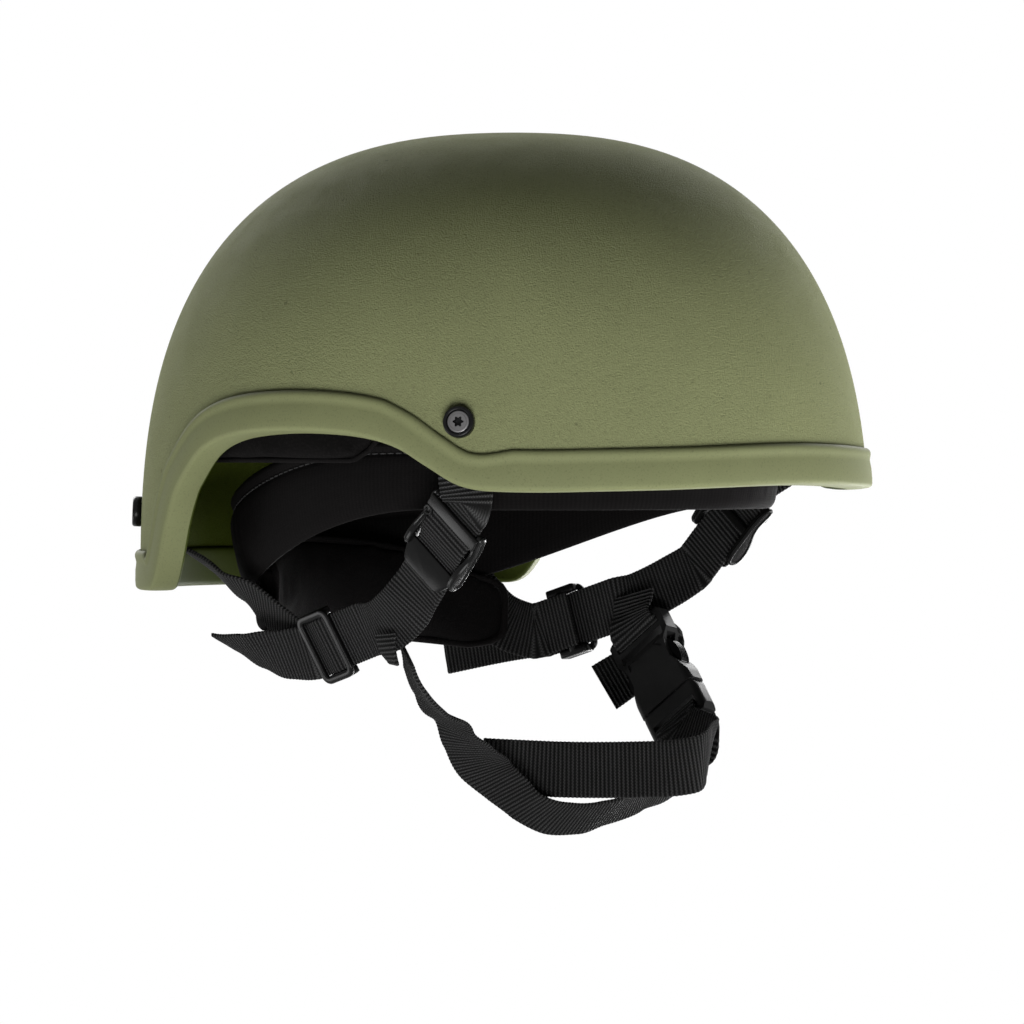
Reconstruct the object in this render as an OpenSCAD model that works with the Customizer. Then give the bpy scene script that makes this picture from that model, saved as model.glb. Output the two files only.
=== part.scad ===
// Combat helmet: composite shell with edge trim, pads, headband and a webbing chin strap harness.
// +Z is up, the wearer faces -Y and the wearer's left is +X. The origin is the centre of the head
// opening, level with the front of the brim.

/* [Shell] */
// Half of the shell's width
half_width = 121.2; // [114:0.2:128]
// Length of the shell in front of the origin
front_length = 131.3; // [124:0.1:138]
// Length of the shell behind the origin
rear_length = 140.6; // [133:0.1:148]
// Height of the crown above the brim
crown_height = 126.1; // [118:0.1:134]
// Depth below the brim at which the wall stands plumb
plumb_depth = 37.5; // [36:0.5:42]
// Roundness of the crown: a higher value gives a squarer shoulder
shoulder = 2.535; // [2.3:0.005:2.8]
// Roundness of the side wall: a higher value keeps the wall plumb for longer
wall_round = 2.78; // [2.5:0.01:3.1]
// Thickness of the composite wall
shell_wall = 7; // [5.5:0.5:8.5]
// Height of the ear arch above the brim
arch_rise = 20; // [14:0.5:24]
// Drop of the nape below the brim
nape_drop = 36; // [30:0.5:36]

/* [Edge trim] */
// Height of the trim's legs above the rim
trim_height = 14; // [10:0.5:15]
// Thickness of each leg of the trim
trim_leg = 1.4; // [1:0.1:1.6]
// Thickness of the trim under the shell's rim
trim_web = 2; // [1.5:0.1:2.4]

/* [Bolts] */
// Angle of the temple bolts forward of the ear line
temple_angle = 30.1; // [28:0.1:32]
// Height of the temple bolts above the brim
temple_height = 23; // [21:0.5:26]
// Angle of the rear bolts behind the ear line
rear_angle = 52; // [50:0.5:54]
// Height of the rear bolts, below the brim
rear_bolt_drop = 8.5; // [6:0.5:11]
// Diameter of the cup washer under each screw head
collar_d = 10.8; // [10:0.1:12]
// Height of the cup washer
collar_h = 3.3; // [2.8:0.1:3.6]
// Diameter of the screw head
head_d = 8.6; // [8:0.1:8.8]
// Diameter of the screw's shank
shank_d = 5; // [4.5:0.1:5.2]
// Outer diameter of the nut's sleeve
sleeve_d = 6.8; // [6.6:0.1:7]
// Diameter of the nut's flange
flange_d = 15; // [13:0.5:16]

/* [Pads] */
// Thickness of the foam pads
pad_thick = 20; // [16:0.5:20.5]
// Height of the pads' lower edge above the brim
pad_bottom = 9; // [8:0.5:12]
// Height of the pads' upper edge above the brim
pad_top = 66; // [56:1:72]
// Thickness of the hook tape that holds the pads
tape = 1.3; // [1:0.1:1.5]

/* [Headband] */
// Half of the headband's outer width
band_half_width = 89; // [85:0.5:89.5]
// Half of the headband's outer length
band_half_length = 104.5; // [99:0.5:105]
// Distance of the headband's centre behind the origin
band_back = 4.5; // [2.5:0.5:5]
// Thickness of the padded band
band_thick = 8; // [6:0.5:9]
// Lower edge of the band at the front, above the brim
band_low_front = -7; // [-9:0.5:-4]
// Upper edge of the band at the front, above the brim
band_top_front = 17; // [14:0.5:20]
// Fall of the band's lower edge from front to rear
band_low_fall = 31; // [26:0.5:33]
// Fall of the band's upper edge from front to rear
band_top_fall = 22; // [18:0.5:24]

/* [Nape pad] */
// Half of the distance across the nape pad's curve
nape_half = 66.5; // [64:0.5:67]
// Distance of the nape pad's back from the origin
nape_back = 85; // [82:0.5:85.5]
// Height of the nape pad at its middle
nape_height = 36; // [32:0.5:38]
// Fall of the nape pad's upper edge towards its ends
nape_end_fall = 12; // [8:0.5:14]
// Angle at which the nape pad hangs lower on the wearer's left
nape_tilt = 3.5; // [0:0.5:5]
// Upper edge of the nape pad, below the brim
nape_top_drop = 18; // [17:0.5:22]
// Thickness of the nape pad
nape_thick = 11; // [9:0.5:12]

/* [Webbing] */
// Width of the webbing
web_w = 20; // [19:0.1:20.4]
// Thickness of the webbing
web_t = 1.5; // [1.2:0.1:1.7]
// Clearance between the webbing and the hardware that it runs through
web_gap = 0.3; // [0.2:0.05:0.5]

/* [Adjusters and sliders] */
// Outer width of an adjuster and a slider
frame_w = 26; // [25.4:0.1:27]
// Width of the slots
slot_w = 21; // [20.8:0.1:21.4]
// Length of the ladder-lock adjuster, without its thumb tab
adjuster_len = 24; // [22:0.5:26]
// Length of the adjuster's thumb tab
thumb_tab = 6; // [4:0.5:7]
// Length of the three-bar slider
slider_len = 17; // [16:0.5:18]
// Width of the bars
bar_w = 3.2; // [2.8:0.1:3.4]
// Thickness of the bars
bar_t = 1.8; // [1.5:0.1:2]

/* [Buckle] */
// Width of the buckle
buckle_w = 27; // [26:0.1:28]
// Thickness of the buckle
buckle_t = 9; // [8.5:0.1:10]
// Length of the socket
socket_len = 34; // [33:0.5:35]
// Length of the plug's base that stays outside the socket
plug_base = 13; // [12:0.5:14]
// Thickness of the prongs
prong_t = 4.2; // [3.8:0.1:4.6]
// Gap between the plug's base and the socket's mouth
mouth_gap = 0.4; // [0.3:0.05:0.6]

/* [Hidden] */
$fn = 48;
olive = [0.42, 0.44, 0.29];
black = [0.1, 0.1, 0.1];
webbing = [0.16, 0.16, 0.16];
plastic = [0.07, 0.07, 0.07];
steel = [0.47, 0.47, 0.46];
foam = [0.13, 0.13, 0.12];
// Clearance between the trim or a pad and the shell's wall
fit_gap = 0.3;
// Rise of the shell from where its wall stands plumb to the crown
dome_rise = crown_height + plumb_depth;
// Clearance under the flat hardware at each bolt
seat = 0.05;
RIGHT = 0;
LEFT = 1;

// General geometry

function unit(v) = v / norm(v);
function clamp01(t) = min(1, max(0, t));
function mix(a, b, t) = a + (b - a) * t;
function ease(t) = clamp01(t) * clamp01(t) * (3 - 2 * clamp01(t));
// The part of v that is square to the unit vector n
function square_to(v, n) = v - n * (v * n);
// Value at x of a smooth line through [x, value] pairs
function slope_at(line, i) =
    i == 0 || i == len(line) - 1 ? 0
    : (line[i + 1][1] - line[i - 1][1]) / (line[i + 1][0] - line[i - 1][0]);
function span_of(line, x, i = 0) = i >= len(line) - 2 || x <= line[i + 1][0] ? i : span_of(line, x, i + 1);
function smooth_line(line, x) =
    let (i = span_of(line, x), run = line[i + 1][0] - line[i][0], t = clamp01((x - line[i][0]) / run))
    (2 * t * t * t - 3 * t * t + 1) * line[i][1] + (t * t * t - 2 * t * t + t) * run * slope_at(line, i)
    + (3 * t * t - 2 * t * t * t) * line[i + 1][1] + (t * t * t - t * t) * run * slope_at(line, i + 1);

// Dome: angle 0 is at the ear, 90 at the front and -90 at the rear, on the +X side

function half_length(angle) = sin(angle) > 0 ? front_length : rear_length;
function rise_share(z) = clamp01((z + plumb_depth) / dome_rise);
function spread(z) = pow(1 - pow(rise_share(z), wall_round), 1 / shoulder);
function dome_skin(angle, z) =
    [half_width * cos(angle) * spread(z), -half_length(angle) * sin(angle) * spread(z), z];
function dome_normal(angle, z) =
    let (r = max(0.001, spread(z)), h = rise_share(z))
    unit([shoulder * pow(r, shoulder - 1) * cos(angle) / half_width,
        -shoulder * pow(r, shoulder - 1) * sin(angle) / half_length(angle),
        wall_round * pow(h, wall_round - 1) / dome_rise]);
function dome(angle, z, out = 0) = dome_skin(angle, z) + out * dome_normal(angle, z);
function angle_of(p) = atan2(-p[1] / (p[1] < 0 ? front_length : rear_length), p[0] / half_width);
// Height at which the dome leans back by this many degrees of its profile
function height_at(lean) = dome_rise * pow(sin(lean), 2 / wall_round) - plumb_depth;
function lean_at(z) = asin(pow(rise_share(z), wall_round / 2));

// Rim: height of the lower edge, from the nape round the ear arch to the brim.
// Each pair is an angle and a share of nape_drop (below 0) or of arch_rise (above 0).
rim_shares = [[-90, -1], [-60, -1], [-38, -1], [-34, -0.95], [-31, -0.7], [-28, -0.3], [-24, 0.12],
    [-19, 0.62], [-13, 0.88], [-4, 1], [6, 1], [14, 0.91], [20, 0.72], [25, 0.4], [30, 0.09],
    [36, 0], [60, 0.02], [90, 0.1]];
function mirrored(angle) = angle > 90 ? 180 - angle : angle < -90 ? -180 - angle : angle;
function rim_share(angle) = smooth_line(rim_shares, mirrored(angle));
function rim_height(angle) = rim_share(angle) < 0 ? rim_share(angle) * nape_drop : rim_share(angle) * arch_rise;
function rim_point(angle) = dome(angle, rim_height(angle));
// Direction up the wall, square to the rim as it runs within a few degrees of this angle
rim_reach = 6;
function up_wall(angle) =
    unit(cross(dome_normal(angle, rim_height(angle)),
        unit(rim_point(angle - rim_reach) - rim_point(angle + rim_reach))));
// Point above the rim by `up`, measured along the wall, and `out` from the wall's outer face
function above_rim(angle, up, out) =
    let (p = rim_point(angle) + up * up_wall(angle))
    dome(angle_of(p), p[2], out);
// Angles of the mesh columns on one side, closer together where the rim turns, then mirrored
side_angles = concat([for (a = [-90:5:-45]) a], [for (a = [-40:2:-12]) a], [for (a = [-9:4.5:9]) a],
    [for (a = [13:2.5:33]) a], [for (a = [38:6.5:90]) a]);
columns = concat(side_angles, [for (i = [len(side_angles) - 2:-1:1]) 180 - side_angles[i]]);

// Solid between two grids of points that lie face to face
module slab(face, back) {
    rows = len(face);
    cols = len(face[0]);
    half = rows * cols;
    function at(side, r, c) = side * half + r * cols + c;
    function quad(a, b, c, d) = [[a, b, c], [a, c, d]];
    polyhedron(
        points = concat([for (r = face) for (p = r) p], [for (r = back) for (p = r) p]),
        faces = concat(
            [for (r = [0:rows - 2]) for (c = [0:cols - 2])
                each quad(at(0, r, c), at(0, r + 1, c), at(0, r + 1, c + 1), at(0, r, c + 1))],
            [for (r = [0:rows - 2]) for (c = [0:cols - 2])
                each quad(at(1, r, c), at(1, r, c + 1), at(1, r + 1, c + 1), at(1, r + 1, c))],
            [for (c = [0:cols - 2]) each quad(at(0, 0, c), at(0, 0, c + 1), at(1, 0, c + 1), at(1, 0, c))],
            [for (c = [0:cols - 2])
                each quad(at(1, rows - 1, c), at(1, rows - 1, c + 1), at(0, rows - 1, c + 1), at(0, rows - 1, c))],
            [for (r = [0:rows - 2]) each quad(at(1, r, 0), at(1, r + 1, 0), at(0, r + 1, 0), at(0, r, 0))],
            [for (r = [0:rows - 2])
                each quad(at(0, r, cols - 1), at(0, r + 1, cols - 1), at(1, r + 1, cols - 1), at(1, r, cols - 1))]
        )
    );
}

// Closed ring swept through a list of sections, each a closed outline of as many points
module hoop(sections) {
    n = len(sections);
    m = len(sections[0]);
    function at(s, i) = (s % n) * m + i % m;
    polyhedron(
        points = [for (s = sections) for (p = s) p],
        faces = [for (s = [0:n - 1]) for (i = [0:m - 1])
            each [[at(s, i), at(s + 1, i), at(s + 1, i + 1)], [at(s, i), at(s + 1, i + 1), at(s, i + 1)]]]
    );
}

// Skin through rings that starts and ends in a point
module capped(rings, first, last) {
    n = len(rings);
    m = len(rings[0]);
    function at(s, i) = s * m + i % m;
    polyhedron(
        points = concat([for (s = rings) for (p = s) p], [first, last]),
        faces = concat(
            [for (s = [0:n - 2]) for (i = [0:m - 1])
                each [[at(s, i), at(s + 1, i + 1), at(s + 1, i)], [at(s, i), at(s, i + 1), at(s + 1, i + 1)]]],
            [for (i = [0:m - 1]) [n * m, at(0, i + 1), at(0, i)]],
            [for (i = [0:m - 1]) [n * m + 1, at(n - 1, i), at(n - 1, i + 1)]]
        )
    );
}

// Places its children at p, with their X axis along x_dir and their Y axis nearest to y_dir
module place(p, x_dir, y_dir) {
    x = unit(x_dir);
    y = unit(square_to(y_dir, x));
    z = cross(x, y);
    multmatrix([[x[0], y[0], z[0], p[0]], [x[1], y[1], z[1], p[1]], [x[2], y[2], z[2], p[2]], [0, 0, 0, 1]])
        children();
}

// Draws its children on the wearer's left, or mirrored on the right
module on_side(side) {
    if (side == LEFT)
        children();
    else
        mirror([1, 0, 0]) children();
}

// Ribbon of webbing along a route of [centre, width direction] pairs
function route_at(route, i) = route[min(len(route) - 1, max(0, i))];
function heading(route, i) = unit(route_at(route, i + 1)[0] - route_at(route, i - 1)[0]);
// Smooth curve through the route's points, straight where three or more of them are in line
function route_point(route, k) =
    let (i = min(len(route) - 2, floor(k)), t = k - i, a = route_at(route, i)[0], b = route_at(route, i + 1)[0],
        reach = norm(b - a))
    (2 * t * t * t - 3 * t * t + 1) * a + (t * t * t - 2 * t * t + t) * reach * heading(route, i)
    + (3 * t * t - 2 * t * t * t) * b + (t * t * t - t * t) * reach * heading(route, i + 1);
function route_width(route, k) =
    let (i = min(len(route) - 2, floor(k)), t = k - i)
    mix(unit(route_at(route, i)[1]), unit(route_at(route, i + 1)[1]), ease(t));
function ribbon_row(route, k, side, w) =
    let (last = len(route) - 1,
        along = unit(route_point(route, min(last, k + 0.05)) - route_point(route, max(0, k - 0.05))),
        across = unit(square_to(route_width(route, k), along)),
        up = cross(across, along),
        p = route_point(route, k) + up * side * web_t / 2)
    [p - across * w / 2, p + across * w / 2];
module ribbon(route, steps = 4, w = web_w) {
    ks = [for (i = [0:steps * (len(route) - 1)]) i / steps];
    slab([for (k = ks) ribbon_row(route, k, 1, w)], [for (k = ks) ribbon_row(route, k, -1, w)]);
}

// Shell

shell_rows = 11;
lean_top = 86;
function shell_row(t, out) = [for (a = columns)
    let (foot = above_rim(a, trim_web + fit_gap, 0),
        foot_angle = a > 90 || a < -90 ? a : angle_of(foot),
        from = a > 90 ? 180 - angle_of(above_rim(180 - a, trim_web + fit_gap, 0)) : foot_angle,
        drift = mix(from, a, ease(2 * t)),
        z = height_at(mix(lean_at(foot[2]), lean_top, pow(t, 1.2))))
    a > 90 ? mirror_x(dome(180 - drift, z, out)) : dome(drift, z, out)];
function mirror_x(p) = [-p[0], p[1], p[2]];

module bolt_place(which) {
    angle = which == "temple" ? temple_angle : -rear_angle;
    z = which == "temple" ? temple_height : -rear_bolt_drop;
    n = dome_normal(angle, z);
    place(dome(angle, z), cross([0, 0, 1], n), cross(n, cross([0, 0, 1], n))) children();
}

module all_bolts() {
    for (side = [RIGHT, LEFT])
        for (which = ["temple", "rear"])
            on_side(side) bolt_place(which) children();
}

module shell() {
    color(olive) difference() {
        capped(
            concat(
                [for (i = [shell_rows:-1:0]) shell_row(i / shell_rows, -shell_wall)],
                [for (i = [0:shell_rows]) shell_row(i / shell_rows, 0)]
            ),
            [0, 0, crown_height - shell_wall],
            [0, 0, crown_height]
        );
        all_bolts() cylinder(d = sleeve_d + 0.4, h = 6 * shell_wall, center = true);
    }
}

// Edge trim: a channel over the rim, with a chamfered upper edge and a rounded foot. It dips below the
// temple bolts.
bolt_dip = 0.17;
function trim_top(angle) =
    trim_height * (1 - bolt_dip * max(0, 1 - pow((mirrored(angle) - temple_angle + 3) / 11, 2)));
function trim_section(angle) =
    let (top = trim_top(angle), face = fit_gap + trim_leg, inner = -shell_wall - fit_gap, back = inner - trim_leg,
        outline = [[trim_web, inner], [top, inner], [top, inner - 0.4],
            [top - 1.4, back], [1, back - 0.1], [0, back + 1.1], [0, face - 1.1], [1, face + 0.1],
            [top - 1.4, face], [top, fit_gap + 0.4], [top, fit_gap], [trim_web, fit_gap]])
    [for (q = outline)
        angle > 90 ? mirror_x(above_rim(180 - angle, q[0], q[1])) : above_rim(angle, q[0], q[1])];

module edge_trim() {
    color(olive) hoop([for (a = columns) trim_section(a)]);
}

// Bolts: Z points out of the shell, and 0 is its outer face

inner_face = -shell_wall;
strap_face = inner_face - trim_leg - 2 * fit_gap - 0.4;
nut_face = strap_face - web_t - 0.6;
nut_flange = 1.5;
cup_floor = 0.9;

module screw() {
    difference() {
        union() {
            translate([0, 0, cup_floor + seat]) cylinder(d = head_d, h = collar_h - cup_floor - 0.5);
            translate([0, 0, nut_face + 1]) cylinder(d = shank_d, h = cup_floor - nut_face);
        }
        translate([0, 0, collar_h - 2]) for (a = [0:120:240])
            rotate(a) translate([-1.9, -0.6, 0]) cube([3.8, 1.2, 4]);
    }
}

module temple_screws() {
    color(steel) for (side = [RIGHT, LEFT]) on_side(side) bolt_place("temple") screw();
}

module rear_screws() {
    color(steel) for (side = [RIGHT, LEFT]) on_side(side) bolt_place("rear") screw();
}

module screw_collars() {
    bore = shank_d + 0.4;
    color(plastic) all_bolts() rotate_extrude()
        polygon([[bore / 2, seat], [collar_d / 2, seat], [collar_d / 2, collar_h - 0.9],
            [collar_d / 2 - 0.7, collar_h], [head_d / 2 + 0.15, collar_h], [head_d / 2 + 0.15, cup_floor],
            [bore / 2, cup_floor]]);
}

module sleeve_nuts() {
    color(steel) all_bolts() difference() {
        union() {
            translate([0, 0, nut_face - nut_flange]) cylinder(d = flange_d, h = nut_flange);
            translate([0, 0, nut_face - nut_flange]) cylinder(d = sleeve_d, h = nut_flange - nut_face - 0.3);
        }
        translate([0, 0, nut_face - nut_flange - 1])
            cylinder(d = shank_d + 0.2, h = nut_flange - nut_face + 5);
    }
}

eyelet_hole = sleeve_d + 0.2;
eyelet_bore = eyelet_hole + 0.8;
module strap_eyelets() {
    flange = eyelet_hole / 2 + 2.6;
    color(steel) all_bolts() rotate_extrude()
        polygon([[eyelet_hole / 2, nut_face + seat], [flange, nut_face + seat], [flange, nut_face + 0.35],
            [eyelet_bore / 2, nut_face + 0.35], [eyelet_bore / 2, strap_face + 0.25],
            [flange, strap_face + 0.25], [flange, inner_face - 0.5], [eyelet_hole / 2, inner_face - 0.5]]);
}

// Pads: each follows the inside of the dome, with rounded corners, drawn-in edges and a crowned face.
// A patch is [first angle, last angle, lower edge, upper edge].
side_patch = [-38, 16, pad_bottom, pad_top];
front_patch = [48, 132, pad_bottom, pad_top];
rear_patch = [-118, -62, pad_bottom, pad_top];
pad_cols = 14;
pad_rows = 8;
tape_skin = inner_face - 0.5;
pad_skin = inner_face - fit_gap - max(tape + 0.5, trim_leg + fit_gap) - 0.1;
function corner(t) = pow(1 - pow(abs(2 * t - 1), 5), 0.2);
function swell(t) = pow(sin(180 * t), 0.5);
function any_dome(angle, z, out) =
    angle > 90 ? mirror_x(dome(180 - angle, z, out))
    : angle < -90 ? mirror_x(dome(-180 - angle, z, out)) : dome(angle, z, out);
function patch_row(patch, v, cols, skin, thick, crowned) =
    let (mid = (patch[0] + patch[1]) / 2, half = (patch[1] - patch[0]) / 2 * corner(v),
        z = height_at(mix(lean_at(patch[2]), lean_at(patch[3]), v)))
    [for (i = [0:cols])
        let (s = mix(0.03, 0.97, i / cols), fill = crowned ? 0.5 + 0.5 * swell(s) * swell(v) : 1)
        any_dome(mid + half * (2 * i / cols - 1), z, skin - thick * fill)];
function patch_vs(rows) = [for (j = [0:rows]) mix(0.03, 0.97, j / rows)];

module pad(patch) {
    color(foam) slab(
        [for (v = patch_vs(pad_rows)) patch_row(patch, v, pad_cols, pad_skin, pad_thick, true)],
        [for (v = patch_vs(pad_rows)) patch_row(patch, v, pad_cols, pad_skin, 0, false)]
    );
}

module front_pad() {
    pad(front_patch);
}

module rear_pad() {
    pad(rear_patch);
}

module right_side_pad() {
    on_side(RIGHT) pad(side_patch);
}

module left_side_pad() {
    on_side(LEFT) pad(side_patch);
}

crown_patch_lean = 68;
function crown_ring(lean, out) = [for (a = [0:15:345])
    let (side = a > 90 && a < 270 ? -1 : 1, angle = a > 270 ? a - 360 : a > 90 ? 180 - a : a,
        p = dome(angle, height_at(lean), out))
    [side * p[0], p[1], p[2]]];
crown_leans = [crown_patch_lean, crown_patch_lean + 2, 73, 78, 84];
module crown_layer(skin, thick, shares, first = 0) {
    last = len(crown_leans) - 1;
    capped(
        concat(
            [for (i = [last:-1:first]) crown_ring(crown_leans[i], skin - thick * shares[i])],
            [for (i = [first:last]) crown_ring(crown_leans[i], skin)]
        ),
        [0, 0, crown_height + skin - thick],
        [0, 0, crown_height + skin]
    );
}

module crown_pad() {
    color(foam) crown_layer(pad_skin, pad_thick, [0.5, 0.77, 0.92, 1, 1]);
}

// Hook tape: one thin patch behind each pad, above the trim
tape_inset = 8;
tape_low = arch_rise + trim_height + 2;
module tape_patch(patch) {
    shrunk = [patch[0] + tape_inset, patch[1] - tape_inset, tape_low, pad_top - tape_inset];
    slab(
        [for (v = patch_vs(3)) patch_row(shrunk, v, 12, tape_skin, tape, false)],
        [for (v = patch_vs(3)) patch_row(shrunk, v, 12, tape_skin, 0, false)]
    );
}

module hook_patches() {
    color(plastic) {
        tape_patch(front_patch);
        tape_patch(rear_patch);
        for (side = [RIGHT, LEFT]) on_side(side) tape_patch(side_patch);
        crown_layer(tape_skin, tape, [1, 1, 1, 1, 1], 2);
    }
}

// Headband: padded ring with a rolled seam along its upper edge, lower at the rear, where it leans in
band_lean = 5;
band_shares = [[0, 0.3], [0.08, 0.66], [0.3, 0.94], [0.5, 1], [0.7, 0.88], [0.82, 0.5], [0.92, 0.74], [1, 0.34]];
function band_low(angle) = band_low_front - band_low_fall * ease((20 - angle) / 80);
function band_top(angle) = band_top_front - band_top_fall * ease((8 - angle) / 75);
function band_point(angle, v, side, share) =
    let (up = mirrored(angle), rear = ease((20 - up) / 80),
        lean = band_lean * rear * pow(1 - v, 1.5),
        inset = band_thick / 2 - side * share * band_thick / 2 + lean)
    [(band_half_width - inset) * cos(angle), band_back - (band_half_length - inset) * sin(angle),
        mix(band_low(up), band_top(up), v)];
function band_section(angle) = concat(
    [for (s = band_shares) band_point(angle, s[0], 1, s[1])],
    [for (i = [len(band_shares) - 1:-1:0]) band_point(angle, band_shares[i][0], -1, band_shares[i][1])]);
band_columns = 50;

module headband() {
    color(black) hoop([for (i = [0:band_columns - 1]) band_section(360 * i / band_columns - 90)]);
}

// Nape pad: a cradle on a half oval, with rounded corners and a sewn channel inside its edge
nape_depth = 44;
nape_spread = 74;
nape_cols = 20;
nape_rows = 8;
function nape_fill(s, v) =
    let (edge = min(swell(s), swell(v)))
    0.35 + 0.65 * edge - (edge > 0.45 && edge < 0.75 ? 0.16 : 0);
function nape_point(s, v, side) =
    let (t = 2 * s - 1, angle = nape_spread * t * corner(v), r = side * nape_thick / 2 * nape_fill(s, v),
        top = -nape_top_drop - nape_end_fall * pow(abs(t), 2.5),
        low = -nape_top_drop - nape_height - 2 * pow(abs(t), 2))
    [(nape_half + r) * sin(angle), nape_back - nape_depth + (nape_depth + r) * cos(angle), mix(low, top, v)];
function nape_layer(side) =
    [for (v = patch_vs(nape_rows)) [for (i = [0:nape_cols]) nape_point(mix(0.02, 0.98, i / nape_cols), v, side)]];

module nape_pad() {
    z = -nape_top_drop - nape_height / 2;
    color(black) translate([0, 0, z]) rotate([0, nape_tilt, 0]) translate([0, 0, -z])
        slab(nape_layer(1), nape_layer(-1));
}

// Harness. Sides are [right, left], both written as if on the left; X is the distance from the middle.

adjuster_at = [[89, -47, -16.5], [90, -29, -10]];
adjuster_run = [[-0.2, 0.7, -0.69], [-0.12, 0.63, -0.765]];
adjuster_across = [[-0.125, -0.717, -0.69], [-0.12, -0.775, -0.62]];
slider_at = [[74, 20.5, -54.5], [76, 36.5, -49.5]];
slider_run = [[-0.15, 0.95, -0.27], [-0.12, 0.95, -0.3]];
slider_across = [[0, -0.27, -0.96], [0, -0.3, -0.95]];
// Travel of the adjusters and sliders along the webbing, which runs straight for that far
adjuster_travel = 8;
slider_travel = 10;
// Lean of each front strap at its bolt, towards the rear
strap_lean = [4, 38];
junction_points = [
    [[[83, -21.5, -41], [-0.12, -0.6, -0.79]], [[80, -10, -46.3], [-0.06, -0.45, -0.89]]],
    [[[85, -3, -35], [-0.1, -0.6, -0.8]], [[81.8, 9, -41], [-0.06, -0.45, -0.89]]]
];
tail_points = [
    [[[72.6, 45, -58.5], [-0.2, -0.2, -0.96]], [[72, 62, -57], [-0.6, 0, -0.8]],
        [[70, 78.7, -54], [-0.8, 0, -0.6]]],
    [[[74, 51.5, -53], [0, -0.25, -0.97]], [[72, 68, -55.5], [0, -0.2, -0.98]],
        [[67.5, 90, -60], [0, -0.15, -0.98]]]
];
strap_depth = strap_face - web_t / 2;
// Height of a bar's face above the middle of the webbing
bar_face = web_t / 2 + web_gap;

function bolt_angle(which) = which == "temple" ? temple_angle : -rear_angle;
function bolt_height(which) = which == "temple" ? temple_height : -rear_bolt_drop;
function bolt_normal(which) = dome_normal(bolt_angle(which), bolt_height(which));
function bolt_across(which) = unit(cross([0, 0, 1], bolt_normal(which)));
function bolt_up(which) = cross(bolt_normal(which), bolt_across(which));
// Direction up the wall at a bolt, leaning by an angle from the vertical
function lean_up(which, lean) = cos(lean) * bolt_up(which) - sin(lean) * bolt_across(which);
function lean_across(which, lean) = cos(lean) * bolt_across(which) + sin(lean) * bolt_up(which);
// Centre of the strap behind a bolt, moved up the wall by `up` and inwards by `in`
function strap_at_bolt(which, up, in = 0, lean = 0) =
    let (p = dome(bolt_angle(which), bolt_height(which)) + up * lean_up(which, lean))
    dome(angle_of(p), p[2], strap_depth - in);

// Two points in line at each end of a straight stretch, from `back` before a place to `ahead` after it
lead = 3;
function straight(at, run, across, back, ahead) =
    [for (d = [-back - lead, -back, ahead, ahead + lead]) [at + unit(run) * d, across]];
function front_route(side) =
    let (lean = strap_lean[side], across = -lean_across("temple", lean))
    concat(
        [for (q = [[9, 0, 0], [0, 0, 0], [-8, 0, 0], [-9.5, 0.2, 0.08], [-14.5, 2.8, 0.65]])
            [strap_at_bolt("temple", q[0], q[1], lean), mix(across, adjuster_across[side], q[2])]],
        straight(adjuster_at[side], adjuster_run[side], adjuster_across[side], adjuster_len / 2 + 2.4,
            adjuster_len / 2 + adjuster_travel + thumb_tab - 4),
        junction_points[side],
        straight(slider_at[side], slider_run[side], slider_across[side], slider_len / 2 + slider_travel,
            slider_len / 2),
        tail_points[side]);

module front_strap(side) {
    color(webbing) on_side(side) difference() {
        ribbon(front_route(side));
        bolt_place("temple") cylinder(d = eyelet_bore + 0.2, h = 6 * shell_wall, center = true);
    }
}

module right_front_strap() {
    front_strap(RIGHT);
}

module left_front_strap() {
    front_strap(LEFT);
}

rear_inset = bar_face + bar_t + web_gap + web_t / 2;
rear_points = [
    [[[65, 98.8, -21.5], [-0.7, 0.72, 0]], [[65, 86.5, -27.5], [-0.74, 0.6, -0.2]],
        [[67.6, 72.5, -34], [-0.5, 0.3, -0.75]], [[68.2, 57, -40.5], [-0.2, 0, -0.98]]],
    [[[65, 98.8, -21.5], [-0.7, 0.72, 0]], [[65, 86.5, -27.5], [-0.74, 0.6, -0.2]],
        [[68.5, 74, -33.5], [-0.5, 0.3, -0.75]], [[69.5, 63, -39.5], [-0.2, 0, -0.98]]]
];
function slider_normal(side) = unit(cross(slider_across[side], slider_run[side]));
function rear_end(side, back) =
    slider_at[side] + unit(slider_run[side]) * back - slider_normal(side) * rear_inset;
function rear_route(side) = concat(
    [for (q = [[9, 0], [0, 0], [-8, 0], [-9.5, 0.5]]) [strap_at_bolt("rear", q[0], q[1]), bolt_across("rear")]],
    rear_points[side],
    [[rear_end(side, slider_len / 2 + 5), slider_across[side]],
        [rear_end(side, slider_len / 2), slider_across[side]],
        [rear_end(side, bar_w / 2 + web_gap), slider_across[side]]]);

module rear_strap(side) {
    color(webbing) on_side(side) difference() {
        ribbon(rear_route(side));
        bolt_place("rear") cylinder(d = eyelet_bore + 0.2, h = 6 * shell_wall, center = true);
    }
}

module right_rear_strap() {
    rear_strap(RIGHT);
}

module left_rear_strap() {
    rear_strap(LEFT);
}

// Hardware: X across the webbing, Y along it, Z outwards, with the webbing's middle at 0
rail_w = (frame_w - slot_w) / 2;

module hardware(at, across, run) {
    place(at, square_to(across, unit(run)), run) children();
}

module bar(y, z0, length = slot_w + 2) {
    translate([-length / 2, y - bar_w / 2, z0]) cube([length, bar_w, bar_t]);
}

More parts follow.
